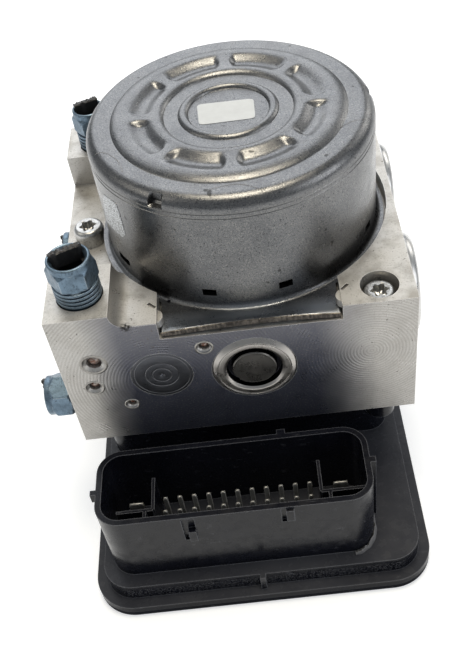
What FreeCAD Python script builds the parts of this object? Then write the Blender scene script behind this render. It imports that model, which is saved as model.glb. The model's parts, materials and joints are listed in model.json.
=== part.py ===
import FreeCAD, Part

import math
import os

from FreeCAD import Placement, Rotation, Vector

# Frame: millimetres, X to the right, Y to the back, Z up.
# The origin lies on the motor axis, in the outer face of the ECU cover.
LEFT, RIGHT = Vector(-1, 0, 0), Vector(1, 0, 0)
FRONT, BACK = Vector(0, -1, 0), Vector(0, 1, 0)
UP = Vector(0, 0, 1)

# Clearances between mating pieces
running_gap = 0.05
slide_gap = 0.06
press_gap = 0.02
free_gap = 0.3

# Control unit housing
ecu_left, ecu_right, ecu_front, ecu_back = -53.1, 42.3, -79.7, 46.4
ecu_corner = 11.5
cover_thickness = 1.8
rim_thickness = 2.4
rim_overhang = 3.2
shelf_top = 10.0
shelf_roof = 2.0
ecu_height = 36.0
ecu_wall = 2.4
tower_left, tower_right, tower_front = -48.2, 36.4, -31.2
tower_corner = 6.0
gasket_thickness = 0.8
gasket_width = 1.0

# Connector shroud on the shelf, its dividers and terminals
shroud_left, shroud_right, shroud_front, shroud_back = -47.1, 26.9, -72.5, -48.5
shroud_corner = 6.8
shroud_wall = 1.65
shroud_height = 25.5
divider_height = 20.0
divider_wall = 0.9
left_divider, right_divider = -32.5, 13.1
divider_back, divider_front = -54.8, -65.0
pin_count = 11
pin_pitch = 4.0
pin_first = -29.75
pin_row_back, pin_row_front = -59.4, -63.6
pin_width, pin_thickness = 1.3, 0.8
pin_height = 16.7
blade_height = 17.5
blade_width = 4.0
blade_thickness = 0.8
left_blade, right_blade, blade_row = -37.6, 18.6, -60.9
wake_blade, wake_blade_row, wake_blade_width = -43.4, -67.2, 2.4
pocket_width, pocket_depth, pocket_lip = 3.4, 0.9, 0.7
nub_width, nub_height, nub_proud = 2.1, 4.4, 0.8
front_catches = ((-22.6, 10.4, 5.8), (3.6, 6.6, 0.9))
rear_catch, rear_catch_width, rear_catch_drop = 3.8, 2.4, 4.8
guide_proud = 1.5
peg_row, peg_width, peg_drop = -61.5, 1.6, 3.2
guide_row, guide_width = -60.3, 1.8
drop_rib, drop_rib_width, drop_rib_proud = -5.4, 1.6, 1.4
stub_offset = 2.3

# Valve block
block_left, block_right, block_depth = -50.6, 41.7, 87.4
mid_height = 42.3
right_height = 41.3
left_floor_height = 34.5
seat_height = 36.75
front_boss_height = 46.4
rear_boss_height = 44.6
boss_inner = -34.5
front_boss_end = -24.0
rear_boss_start = 27.7
boss_fillet = 4.0
notch_left, notch_right = -23.2, 22.8
stake_radius, stake_reach, stake_row, stake_height = 2.4, 1.3, -39.6, 2.2
stake_mark_width, stake_mark_length, stake_mark_depth, stake_mark_turn = 0.9, 2.6, 0.8, 45.0

# Motor can, deep drawn with its flange and front tongue
can_radius = 37.15
can_height = 35.3
can_wall = 1.5
can_rim = 3.4
flange_radius = 39.3
flange_thickness = 1.7
flange_fillet = 2.0
flange_gap = 0.6
tongue_gap = 0.5
tongue_rise = 1.1
crown_crease, outer_bead_crest, inner_bead_crest, inner_bead_foot = 30.4, 26.9, 18.6, 16.6
bead_height = 1.0
crown_groove_outer, crown_groove_inner, crown_groove_slope = 25.4, 20.0, 1.5
crown_groove_count = 8
crown_bridge = 12.0
boss_bead_outer, boss_bead_crest, boss_bead_inner = 13.0, 11.6, 10.3
boss_bead_height = 0.5
boss_sink, boss_sink_slope = 0.2, 0.3
bead_stations = (1.0, 0.7, 0.4, 0.0)
bush_pocket_gap = 0.4
window_width, window_height = 3.6, 2.0
window_level = 6.6
window_angles = (14.8, 61.9)
rim_notch_angles = (-121.0, 5.0, 119.0)
rim_notch_width = 3.3
rim_notch_depth = 1.3

# Motor inside
magnet_count = 4
magnet_arc = 72.0
magnet_thickness = 3.4
magnet_height = 18.0
magnet_level = 9.5
magnet_start = 9.0
air_gap = 0.5
core_height = 11.0
slot_count = 10
slot_width = 2.2
slot_round = 4.0
slot_cover = 2.0
winding_overhang = 3.6
winding_inner = 13.0
commutator_radius = 9.0
commutator_level = 4.6
commutator_bars = 10
commutator_slit, commutator_slit_depth, commutator_riser = 0.5, 1.2, 1.5
brush_width, brush_height, brush_length = 6.0, 4.5, 8.0
brush_plate_thickness = 2.0
brush_plate_level = 1.2
brush_spring_length = 7.0
brush_spring_radius, brush_spring_wire, brush_spring_turns = 1.6, 0.7, 4
brush_lift = 0.6
chute_wall = 1.4
brush_skirt = 2.2
bush_radius = 7.2
bush_height = 6.0
shaft_radius = 4.0
tail_radius = 3.0
retainer_wall, retainer_reach = 0.9, 2.0

# Front bearing, eccentric and pump
bearing_outer_radius, bearing_inner_radius, bearing_width = 13.0, 5.0, 7.0
bearing_ball_radius = 2.0
bearing_ball_count = 7
race_land = 0.9
bearing_recess = 0.5
pump_axis_height = 22.4
eccentricity = 0.9
eccentric_radius = 6.0
eccentric_height = 9.0
needle_radius = 0.9
needle_count = 10
ring_wall = 1.6
chamber_gap = 1.0
tail_bush_radius = 5.5
tail_bush_height = 3.2
eccentric_clearance = 2.0
pump_offset = -0.8
piston_radius = 3.25
piston_length = 15.0
sleeve_radius = 6.5
sleeve_wall_end, sleeve_clearance = 3.0, 1.0
piston_chamfer, piston_nose, piston_nose_step = 0.8, 3.0, 0.7
plug_radius = 11.1
plug_body_radius = 9.6
plug_length = 7.5
plug_proud = 0.7
plug_shoulder, plug_bevel, plug_ring_width, plug_ring_depth = 2.0, 0.9, 0.5, 0.25
plug_disc_sink = 0.4
plug_groove_outer, plug_groove_inner, plug_groove_depth = 7.6, 6.2, 1.8
pump_spring_turns = 4
spring_wire = 0.8
check_ball_radius = 1.5

# Low pressure accumulators on the right face
accumulator_height = 22.2
accumulator_front, accumulator_rear = -18.5, 24.0
accumulator_bore = 12.5
accumulator_depth = 15.2
accumulator_cap_radius = 14.5
accumulator_cap_proud = 3.4
accumulator_cap_seat, accumulator_spigot = 2.2, 2.0
accumulator_dimple = 2.0
accumulator_piston_length, accumulator_floor = 4.6, 1.6
accumulator_stop, accumulator_seal_start = 0.4, 1.4
accumulator_cup_wall = 3.4
accumulator_seal = 1.0
accumulator_spring_turns, accumulator_spring_radius, accumulator_wire = 3, 7.1, 1.2

# Solenoid valves under the block
valve_pitch = 18.0
valve_first = -33.0
valve_rows = (-12.0, 12.0)
valve_bore = 4.6
valve_depth = 11.0
valve_collar_radius, valve_collar_height = 5.4, 1.2
dome_radius = 3.6
dome_wall = 0.35
dome_length = 20.0
armature_length = 9.0
armature_stroke = 0.3
coil_radius = 7.6
coil_height = 17.0
coil_level = 1.6
coil_flange, coil_groove = 1.6, 1.0
valve_bottom, valve_seal_groove, needle_radius_valve, needle_point = 0.6, 0.8, 0.8, 3.2

# Brake line nuts: thread radius 6 is an M12 thread, 5 is an M10 thread
large_thread, small_thread = 6.0, 5.0
nut_engaged = 9.0
port_depth = 11.5
hex_height = 7.3
thread_pitch = 1.3
top_nut_exposed, side_nut_exposed = 5.2, 1.5
top_nut_left = -41.9
front_nut_row, rear_nut_row = -34.4, 34.0
side_nut_height = 10.0
side_nut_rows = (-34.4, 28.0)
rear_nut_height = 27.0
rear_nuts = (-20.0, -34.0)
stub_wall = 0.8
stub_proud = 2.2
stub_slant = 38.0
hex_turn = 8.0

# Fasteners, ball plugs, damper disc and back mounting holes
screw_radius = 2.5
screw_head_radius, screw_head_height = 4.25, 5.0
screw_grip = 5.0
counterbore_radius = 4.95
torx_radius, torx_depth = 2.2, 2.4
lug_radius = 4.3
screw_places = ((-43.8, 1.5), (32.8, -37.5), (23.0, 38.2))
ball_plugs = ((-41.5, 30.2, 1.95), (-43.2, 21.4, 1.45), (-12.8, 32.0, 1.3), (-34.8, 13.3, 1.1))
ball_sink = 0.9
ball_land = 1.45
damper_ring, damper_ring_depth, damper_sink = 4.3, 0.2, 0.1
damper_x, damper_height, damper_radius, damper_length = -25.0, 23.5, 8.1, 6.0
mount_hole_radius = 2.5
mount_hole_depth = 9.0
mount_hole_span = 66.0
mount_hole_height = 8.0

# Board, contacts and seal
board_thickness = 1.6
board_gap = 0.8
contact_x, contact_y = -16.0, 25.0
contact_sleeve, contact_pin, contact_tip = 3.0, 0.6, 2.0
contact_sleeve_start = 3.0
contact_spacing = 2.6
seal_section, seal_width, seal_inset = 1.0, 2.0, 0.6

# Levels and places that follow from the sizes above
block_bottom = ecu_height
block_front, block_back = -block_depth / 2, block_depth / 2
seat_level = block_bottom + seat_height
pump_level = block_bottom + pump_axis_height
left_floor = block_bottom + left_floor_height
can_top = seat_level + can_height
can_bore = can_radius - can_wall
ring_inner = eccentric_radius + 2 * needle_radius + 2 * running_gap
ring_outer = ring_inner + ring_wall
chamber_radius = ring_outer + eccentricity + chamber_gap
bearing_bottom = seat_level - bearing_recess - bearing_width
piston_foot = ring_outer + eccentricity + free_gap
eccentric_low, eccentric_high = pump_level - eccentric_height / 2, pump_level + eccentric_height / 2
tail_top = eccentric_low - eccentric_clearance
tail_low = tail_top - tail_bush_height
crown_inside = can_top - boss_sink - can_wall
bush_top = crown_inside - bush_pocket_gap
bush_low = bush_top - bush_height
plug_inner = block_depth / 2 - plug_length
sleeve_start = chamber_radius + sleeve_clearance
shelf_floor = shelf_top - shelf_roof
screw_seat = left_floor
lug_bottom = ecu_height - gasket_thickness - screw_grip - 1.0
brush_plate_top = seat_level + brush_plate_level + brush_plate_thickness
brush_low = brush_plate_top + brush_lift
chute_top = brush_low + brush_height + chute_wall
core_low = chute_top + winding_overhang + free_gap
commutator_low = seat_level + commutator_level


def cylinder(radius, length, base=Vector(0, 0, 0), axis=UP):
    """A round bar from its base point along an axis."""
    return Part.makeCylinder(radius, length, base, axis)


def tube(outer, inner, length, base=Vector(0, 0, 0), axis=UP):
    """A round tube from its base point along an axis."""
    return cylinder(outer, length, base, axis).cut(cylinder(inner, length, base, axis))


def box(x0, x1, y0, y1, z0, z1):
    """A block between two corners."""
    return Part.makeBox(x1 - x0, y1 - y0, z1 - z0, Vector(x0, y0, z0))


def plate(x0, x1, y0, y1, corner, z0, z1):
    """A plate with rounded corners seen from above."""
    slab = box(x0, x1, y0, y1, z0, z1)
    if corner <= 0.05:
        return slab
    upright = [e for e in slab.Edges if abs(e.BoundBox.ZLength - (z1 - z0)) < 1e-6]
    return slab.makeFillet(corner, upright)


def turned(profile, base=Vector(0, 0, 0), axis=UP):
    """A turned solid from (radius, height) corners, stood on a base point along an axis."""
    points = [Vector(r, 0, h) for r, h in profile]
    face = Part.Face(Part.makePolygon(points + points[:1]))
    solid = face.revolve(Vector(0, 0, 0), UP, 360)
    solid.Placement = Placement(base, Rotation(UP, axis))
    return solid


def moved(shape, place):
    """A copy of a shape, shifted."""
    copy = shape.copy()
    copy.translate(place)
    return copy


def spun(shape, angle, centre=Vector(0, 0, 0)):
    """A copy of a shape, turned about an upright axis by degrees."""
    copy = shape.copy()
    copy.rotate(centre, UP, angle)
    return copy


def fused(shapes):
    """Several overlapping solids as one."""
    first, rest = shapes[0], shapes[1:]
    return first.fuse(rest).removeSplitter() if rest else first


def on_axis(base, axis, distance):
    """The point at a distance from a base along an axis."""
    return base + axis * distance


def coil_spring(radius, wire, length, turns, base, axis):
    """A square-wire helical spring whose ends stay inside its length."""
    height = length - wire
    helix = Part.makeHelix(height / turns, height, radius)
    half = wire / 2
    corners = [Vector(radius + a * half, 0, b * half) for a, b in ((-1, -1), (1, -1), (1, 1), (-1, 1))]
    section = Part.makePolygon(corners + corners[:1])
    spring = Part.Wire(helix).makePipeShell([section], True, True)
    spring.Placement = Placement(on_axis(base, axis, half), Rotation(UP, axis))
    return spring


def half_bead(foot, crest, height):
    """The outline of one flank of a raised ring, from its foot to its crest."""
    return [(crest + (foot - crest) * u, can_height + height * math.cos(math.pi / 2 * u)) for u in bead_stations]


def crown_profile():
    """The can's outer outline, from the flange up to the middle of its end."""
    foot = flange_thickness
    wall_foot = foot + flange_fillet
    shoulder = can_height - can_rim
    points = [(flange_radius, 0.0), (flange_radius, foot)]
    for step in range(5):
        angle = math.radians(22.5 * step)
        points.append((can_radius + flange_fillet * (1 - math.sin(angle)),
                       wall_foot - flange_fillet * math.cos(angle)))
    for step in range(7):
        angle = math.radians(15.0 * step)
        points.append((can_radius - can_rim * (1 - math.cos(angle)), shoulder + can_rim * math.sin(angle)))
    points += half_bead(crown_crease, outer_bead_crest, bead_height)
    points += reversed(half_bead(inner_bead_foot, inner_bead_crest, bead_height))
    points += half_bead(boss_bead_outer, boss_bead_crest, boss_bead_height)[:-1]
    points += reversed(half_bead(boss_bead_inner, boss_bead_crest, boss_bead_height))
    disc = can_height - boss_sink
    return points + [(boss_bead_inner - boss_sink_slope, disc), (0.0, disc)]


def crown_grooves():
    """The ring of arc grooves pressed into the can's end."""
    crest = can_top + bead_height
    floor_inner, floor_outer = crown_groove_inner + crown_groove_slope, crown_groove_outer - crown_groove_slope
    section = [Vector(crown_groove_inner, 0, crest + 1), Vector(crown_groove_outer, 0, crest + 1),
               Vector(crown_groove_outer, 0, crest), Vector(floor_outer, 0, can_top),
               Vector(floor_inner, 0, can_top), Vector(crown_groove_inner, 0, crest)]
    face = Part.Face(Part.makePolygon(section + section[:1]))
    sweep = 360.0 / crown_groove_count - crown_bridge
    groove = face.revolve(Vector(0, 0, 0), UP, sweep)
    start = (360.0 / crown_groove_count - sweep) / 2 + 90.0
    return [spun(groove, start + 360.0 * k / crown_groove_count) for k in range(crown_groove_count)]


def tongue():
    """The flange's front tongue, a strip that bows up a little between the notch walls."""
    x0, x1 = notch_left + tongue_gap, notch_right - tongue_gap
    middle = (x0 + x1) / 2
    y0, y1 = block_front + tongue_gap, -can_radius - flange_fillet / 2

    def arch(level):
        return Part.Arc(Vector(x0, y0, level), Vector(middle, y0, level + tongue_rise), Vector(x1, y0, level))

    low, high = arch(seat_level).toShape(), arch(seat_level + flange_thickness).toShape()
    sides = [Part.makeLine(Vector(x, y0, seat_level), Vector(x, y0, seat_level + flange_thickness)) for x in (x0, x1)]
    bowed = Part.Face(Part.Wire([low, sides[1], high, sides[0]])).extrude(Vector(0, y1 - y0, 0))
    flat = box(x0, x1, y1, -can_radius * 0.6, seat_level, seat_level + flange_thickness)
    return bowed, flat


def motor_can():
    """The deep drawn can with its flange, tongue, pressed crown, windows and rim dents."""
    shell = turned(crown_profile() + [(0.0, 0.0)], Vector(0, 0, seat_level))
    bowed, flat = tongue()
    shell = fused([shell, bowed, flat])
    inner_top = crown_inside - seat_level
    hollow = turned([(0, -1), (can_bore, -1), (can_bore, can_height - can_rim), (can_bore - can_rim * 0.6, inner_top),
                     (0, inner_top)], Vector(0, 0, seat_level))
    shell = shell.cut(hollow)
    cuts = crown_grooves()
    window_z = seat_level + window_level
    window = box(can_bore - 1, can_radius + 1, -window_width / 2, window_width / 2, window_z, window_z + window_height)
    for middle in (-90.0, 90.0):
        for offset in window_angles:
            cuts += [spun(window, middle + offset), spun(window, middle - offset)]
    dent = box(can_radius - rim_notch_depth, can_radius + 1, -rim_notch_width / 2, rim_notch_width / 2,
               can_top - can_rim, can_top + 1)
    cuts += [spun(dent, angle) for angle in rim_notch_angles]
    return shell.cut(cuts)


def magnets():
    """Arc magnets glued to the can's bore."""
    outer = can_bore - press_gap
    inner = outer - magnet_thickness
    z = seat_level + magnet_level
    face = Part.Face(Part.makePolygon([Vector(inner, 0, z), Vector(outer, 0, z), Vector(outer, 0, z + magnet_height),
                                       Vector(inner, 0, z + magnet_height), Vector(inner, 0, z)]))
    arc = face.revolve(Vector(0, 0, 0), UP, magnet_arc)
    return Part.makeCompound([spun(arc, 360.0 * k / magnet_count + magnet_start) for k in range(magnet_count)])


def core_radius():
    """The armature's outer radius inside the magnets."""
    return can_bore - press_gap - magnet_thickness - air_gap


def slot_cuts(z0, z1, clearance):
    """The armature's round wire channels, shrunk by a clearance."""
    ring = core_radius() - slot_round - slot_cover
    slots = []
    for k in range(slot_count):
        channel = cylinder(slot_round - clearance, z1 - z0, Vector(ring, 0, z0))
        slots.append(spun(channel, 360.0 * k / slot_count))
    return slots


def armature_core():
    """The stack of slotted armature sheets on the shaft."""
    z0 = core_low
    stack = tube(core_radius(), shaft_radius, core_height, Vector(0, 0, z0))
    mouth = box(core_radius() - slot_round, core_radius() + 1, -slot_width / 2, slot_width / 2, z0 - 1, z0 + core_height + 1)
    mouths = [spun(mouth, 360.0 * k / slot_count) for k in range(slot_count)]
    return stack.cut(slot_cuts(z0 - 1, z0 + core_height + 1, 0.0) + mouths)


def armature_winding():
    """The copper winding: bars in the slots joined by a head at each end of the core."""
    z0 = core_low
    z1 = z0 + core_height
    outer = core_radius() - 1.5
    mid = (outer + winding_inner) / 2
    head = turned([(winding_inner, 0.0), (outer, 0.0), (outer, winding_overhang * 0.6),
                   (mid, winding_overhang), (winding_inner, winding_overhang * 0.6)])
    upper = moved(head, Vector(0, 0, z1))
    lower = head.copy()
    lower.rotate(Vector(0, 0, 0), RIGHT, 180)
    lower.translate(Vector(0, 0, z0))
    return fused([upper, lower] + slot_cuts(z0 - 0.5, z1 + 0.5, press_gap))


def commutator():
    """The ring of copper bars with slits between them, on its moulded hub."""
    height = core_low - press_gap - commutator_low
    ring = tube(commutator_radius, shaft_radius, height, Vector(0, 0, commutator_low))
    slit = box(commutator_radius - commutator_slit_depth, commutator_radius + 1, -commutator_slit / 2,
               commutator_slit / 2, commutator_low - 1, commutator_low + height - commutator_riser)
    return ring.cut([spun(slit, 360.0 * k / commutator_bars) for k in range(commutator_bars)])


def motor_shaft():
    """The shaft with its tail, eccentric, bearing seat and long upper end."""
    shoulder = bearing_bottom + bearing_width + 1.5
    pieces = [cylinder(tail_radius, eccentric_low - tail_low, Vector(0, 0, tail_low)),
              cylinder(eccentric_radius, eccentric_height, Vector(eccentricity, 0, eccentric_low)),
              cylinder(bearing_inner_radius, shoulder - eccentric_high, Vector(0, 0, eccentric_high)),
              cylinder(shaft_radius, bush_top - bush_pocket_gap - shoulder, Vector(0, 0, shoulder))]
    return fused(pieces)


def rear_bush():
    """The self-aligning sintered bush under the can's crown."""
    ball = Part.makeSphere(bush_radius, Vector(0, 0, bush_top - bush_height / 2))
    slab = tube(bush_radius + 1, shaft_radius + running_gap, bush_height, Vector(0, 0, bush_low))
    return ball.common(slab)


def bush_retainer():
    """The pressed ring that holds the rear bush up against the crown."""
    low = bush_low - retainer_wall
    rest = crown_inside - press_gap
    outer = boss_bead_outer + retainer_reach
    mouth = bush_radius * 0.78
    return turned([(mouth, low - press_gap), (bush_radius + 1.0, low - press_gap), (bush_radius + 2.2, rest - retainer_wall),
                   (outer, rest - retainer_wall), (outer, rest), (bush_radius + 1.4, rest),
                   (bush_radius + 0.2, bush_low - press_gap), (mouth, bush_low - press_gap)])


def tail_bush():
    """The bush that carries the shaft's tail in the block."""
    return tube(tail_bush_radius, tail_radius + running_gap, tail_bush_height, Vector(0, 0, tail_low))


def ball_pitch():
    """The radius of the circle on which the front bearing's balls run."""
    return (bearing_outer_radius + bearing_inner_radius) / 2


def bearing_race(outer):
    """One race of the front bearing with its groove."""
    groove = bearing_ball_radius + running_gap
    torus = Part.makeTorus(ball_pitch(), groove, Vector(0, 0, bearing_bottom + bearing_width / 2))
    if outer:
        ring = tube(bearing_outer_radius, ball_pitch() + race_land, bearing_width, Vector(0, 0, bearing_bottom))
    else:
        ring = tube(ball_pitch() - race_land, bearing_inner_radius, bearing_width, Vector(0, 0, bearing_bottom))
    return ring.cut(torus)


def bearing_balls():
    """The front bearing's balls with their riveted cage ring."""
    z = bearing_bottom + bearing_width / 2
    web = race_land - running_gap * 3
    cage = tube(ball_pitch() + web, ball_pitch() - web, bearing_ball_radius * 1.2,
                Vector(0, 0, z - bearing_ball_radius * 0.6))
    ball = Part.makeSphere(bearing_ball_radius, Vector(ball_pitch(), 0, z))
    return fused([cage] + [spun(ball, 360.0 * k / bearing_ball_count) for k in range(bearing_ball_count)])


def eccentric_ring():
    """The ring that runs on needles round the eccentric and drives both pistons."""
    return tube(ring_outer, ring_inner, eccentric_height - 1.0, Vector(eccentricity, 0, eccentric_low + 0.5))


def eccentric_needles():
    """The needles between the eccentric and its ring."""
    centre = Vector(eccentricity, 0, 0)
    pitch = eccentric_radius + running_gap + needle_radius
    needle = cylinder(needle_radius, eccentric_height - 2.0, Vector(eccentricity + pitch, 0, eccentric_low + 1.0))
    return Part.makeCompound([spun(needle, 360.0 * k / needle_count, centre) for k in range(needle_count)])


def commutator_brushes():
    """The two carbon brushes that press on the commutator."""
    start = commutator_radius + slide_gap
    brush = box(start, start + brush_length, -brush_width / 2, brush_width / 2, brush_low, brush_low + brush_height)
    return Part.makeCompound([brush, spun(brush, 180.0)])


def brush_springs():
    """The springs behind the two brushes."""
    start = commutator_radius + slide_gap + brush_length + press_gap
    z = brush_low + brush_height / 2
    return Part.makeCompound([coil_spring(brush_spring_radius, brush_spring_wire, brush_spring_length,
                                          brush_spring_turns, side * start, side).translated(Vector(0, 0, z))
                              for side in (LEFT, RIGHT)])


def brush_plate():
    """The moulded plate under the can with a chute for each brush."""
    z0 = seat_level + brush_plate_level
    disc = tube(can_bore - free_gap, bearing_outer_radius, brush_plate_thickness, Vector(0, 0, z0))
    skirt = tube(can_bore - free_gap, can_bore - brush_skirt, brush_plate_level, Vector(0, 0, seat_level))
    start = commutator_radius + 2.0
    end = commutator_radius + slide_gap + brush_length + press_gap + brush_spring_length
    half = brush_width / 2 + slide_gap
    outer_half = half + chute_wall
    chute = box(bearing_outer_radius + 0.5, end + chute_wall, -outer_half, outer_half, brush_plate_top - 0.1, chute_top)
    channel = box(start, end + press_gap, -half, half, brush_low - slide_gap, brush_low + brush_height + slide_gap)
    contact_hole = cylinder(contact_sleeve + press_gap, brush_plate_thickness + 2, Vector(contact_x, contact_y, z0 - 1))
    body = fused([disc, skirt, chute, spun(chute, 180.0)])
    return body.cut([channel, spun(channel, 180.0), contact_hole])


def motor_contacts():
    """The insulated pair of pins that feeds the motor through the block."""
    low = board_top() + free_gap
    start = low + contact_sleeve_start
    sleeve = cylinder(contact_sleeve, brush_plate_top - start, Vector(contact_x, contact_y, start))
    length = brush_plate_top + contact_tip - low
    pins = [cylinder(contact_pin, length, Vector(contact_x + side * contact_spacing / 2, contact_y, low))
            for side in (-1, 1)]
    return fused([sleeve] + pins)


def motor_seal():
    """The square seal ring between the motor flange and its seat."""
    outer = can_bore - seal_inset
    return tube(outer, outer - seal_width, seal_section, Vector(0, 0, seat_level - seal_section))


def pump_side(side):
    """The axis and its base point for the front or rear pump."""
    return Vector(0, side, 0), Vector(pump_offset, 0, pump_level)


def pump_piston(side):
    """A pump piston with its foot against the eccentric ring's path."""
    axis, base = pump_side(side)
    nose_start, nose = piston_length - piston_nose, piston_radius - piston_nose_step
    profile = [(0, 0), (piston_radius - piston_chamfer, 0), (piston_radius, piston_chamfer), (piston_radius, nose_start),
               (nose, nose_start), (nose, piston_length), (0, piston_length)]
    return turned(profile, on_axis(base, axis, piston_foot), axis)


def pump_cylinder(side):
    """The sleeve that guides a piston, closed at its outer end by the outlet valve seat."""
    axis, base = pump_side(side)
    length = plug_inner - sleeve_start - press_gap
    body = tube(sleeve_radius, piston_radius + slide_gap, length, on_axis(base, axis, sleeve_start), axis)
    end = tube(sleeve_radius, check_ball_radius * 0.7, sleeve_wall_end,
               on_axis(base, axis, plug_inner - press_gap - sleeve_wall_end), axis)
    seat = Part.makeSphere(check_ball_radius + press_gap, check_ball_centre(side))
    return fused([body, end]).cut(seat)


def check_ball_centre(side):
    """The place of a pump's outlet ball."""
    axis, base = pump_side(side)
    return on_axis(base, axis, plug_inner)


def pump_check_balls():
    """The outlet ball of each pump."""
    return Part.makeCompound([Part.makeSphere(check_ball_radius, check_ball_centre(side)) for side in (-1, 1)])


def pump_spring(side):
    """The return spring behind a piston."""
    axis, base = pump_side(side)
    start = piston_foot + piston_length + press_gap
    end = plug_inner - press_gap - sleeve_wall_end - press_gap
    return coil_spring(piston_radius - spring_wire, spring_wire, end - start, pump_spring_turns,
                       on_axis(base, axis, start), axis)


def plug_profile(length, proud):
    """The stepped outline of a pump plug from its inner end to its outer face."""
    face = length + proud
    seat = length - plug_shoulder
    ring = plug_radius - 1.5 * plug_bevel
    ring_floor, floor, disc = face - plug_ring_depth, face - plug_groove_depth, face - plug_disc_sink
    return [(0, 0), (plug_body_radius, 0), (plug_body_radius, seat), (plug_radius, seat),
            (plug_radius, face - plug_bevel), (plug_radius - plug_bevel, face), (ring, face), (ring, ring_floor),
            (ring - plug_ring_width, ring_floor), (ring - plug_ring_width, face), (plug_groove_outer, face),
            (plug_groove_outer, floor), (plug_groove_inner, floor), (plug_groove_inner, disc - plug_ring_depth),
            (plug_groove_inner - plug_ring_width, disc), (0, disc)]


def pump_plug(side):
    """The pressed plug that closes a pump bore, with its annular groove."""
    axis, base = pump_side(side)
    plug = turned(plug_profile(plug_length, plug_proud), on_axis(base, axis, plug_inner), axis)
    return plug.cut(Part.makeSphere(check_ball_radius + press_gap, check_ball_centre(side)))


def accumulator_base(row):
    """The centre of an accumulator bore in the block's right face."""
    return Vector(block_right, row, block_bottom + accumulator_height)


def accumulator_cap(row):
    """The steel cap that closes an accumulator, with a rounded outer edge and a vent dimple."""
    seat, proud, outer = accumulator_cap_seat, accumulator_cap_proud, accumulator_cap_radius
    inner = accumulator_bore - press_gap
    deep = -seat - accumulator_spigot
    dish = proud - accumulator_dimple / 2
    profile = [(0, deep), (inner, deep), (inner, -seat), (outer, -seat), (outer, proud - 1.8),
               (outer - 0.5, proud - 0.7), (outer - 1.7, proud), (outer - 4.0, proud), (outer - 5.0, dish),
               (accumulator_dimple, dish), (accumulator_dimple / 2, proud - accumulator_dimple),
               (0, proud - accumulator_dimple)]
    return turned(profile, accumulator_base(row), RIGHT)


def accumulator_piston(row):
    """The cup piston of an accumulator with its seal groove."""
    base = accumulator_base(row) + LEFT * accumulator_depth
    outer, length = accumulator_bore - slide_gap, accumulator_piston_length
    groove = outer - accumulator_seal
    cup = outer - accumulator_cup_wall
    seal_low, seal_high = accumulator_seal_start, accumulator_seal_start + accumulator_seal_height()
    profile = [(0, accumulator_stop), (outer, accumulator_stop), (outer, seal_low), (groove, seal_low), (groove, seal_high),
               (outer, seal_high), (outer, length), (cup, length), (cup, accumulator_floor), (0, accumulator_floor)]
    return turned(profile, base, RIGHT)


def accumulator_seal_height():
    """The height of the seal groove in an accumulator piston."""
    return accumulator_seal * 1.2


def accumulator_seal_ring(row):
    """The rubber ring in an accumulator piston's groove."""
    outer = accumulator_bore - slide_gap
    base = accumulator_base(row) + LEFT * (accumulator_depth - accumulator_seal_start - press_gap)
    return tube(outer, outer - accumulator_seal + press_gap, accumulator_seal_height() - 2 * press_gap, base, RIGHT)


def accumulator_spring(row):
    """The spring between an accumulator's piston and its cap."""
    start = -accumulator_depth + accumulator_floor + press_gap
    end = -accumulator_cap_seat - accumulator_spigot - press_gap
    return coil_spring(accumulator_spring_radius, accumulator_wire, end - start, accumulator_spring_turns,
                       accumulator_base(row) + RIGHT * start, RIGHT)


def valve_places(row):
    """The four valve axes of a row in the block's underside."""
    return [Vector(valve_first + valve_pitch * k, row, block_bottom) for k in range(4)]


def valve_body():
    """The steel body of a valve: stem with seal grooves, collar and bored core."""
    stem = valve_bore - press_gap
    foot = dome_radius - dome_wall - running_gap
    groove = stem - valve_seal_groove
    bore = needle_radius_valve + 4 * running_gap
    top = valve_depth - free_gap
    return turned([(bore, valve_bottom), (foot, valve_bottom), (foot, 2.0), (groove, 2.0), (groove, 3.0), (stem, 3.0),
                   (stem, 5.0), (groove, 5.0), (groove, 6.0), (stem, 6.0), (stem, 8.5), (groove, top), (bore, top)])


def valve_bodies(row):
    """The valve bodies of one row."""
    return Part.makeCompound([moved(valve_body(), place) for place in valve_places(row)])


def valve_dome():
    """The thin closed tube that holds a valve's armature, with a collar in the block."""
    low = -dome_length
    inner = dome_radius - dome_wall
    outside = [(0, low), (dome_radius - 1.2, low), (dome_radius - 0.35, low + 0.5), (dome_radius, low + 1.4),
               (dome_radius, 0.0), (valve_collar_radius - press_gap, 0.0),
               (valve_collar_radius - press_gap, valve_collar_height), (valve_bore - press_gap, valve_collar_height),
               (dome_radius, valve_collar_height + 0.4)]
    inside = [(inner, valve_collar_height + 0.4), (inner, low + 1.5), (inner - 1.0, low + dome_wall), (0, low + dome_wall)]
    return turned(outside + inside)


def valve_domes():
    """All eight valve domes."""
    places = [place for row in valve_rows for place in valve_places(row)]
    return Part.makeCompound([moved(valve_dome(), place) for place in places])


def armature_radius():
    """The radius of a valve armature that slides in its dome."""
    return dome_radius - dome_wall - slide_gap


def valve_armature(place, open_at_rest):
    """A valve armature with its needle; an open valve rests away from its seat."""
    lift = -armature_stroke - free_gap if open_at_rest else -free_gap
    radius = armature_radius()
    top = valve_bottom + lift
    low = top - armature_length
    tip = valve_depth - needle_point
    body = turned([(0, low), (radius - 0.5, low), (radius, low + 0.5), (radius, top - 0.3), (radius - 0.3, top),
                   (needle_radius_valve, top), (needle_radius_valve, tip - needle_radius_valve), (0, tip)])
    return moved(body, place)


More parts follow.
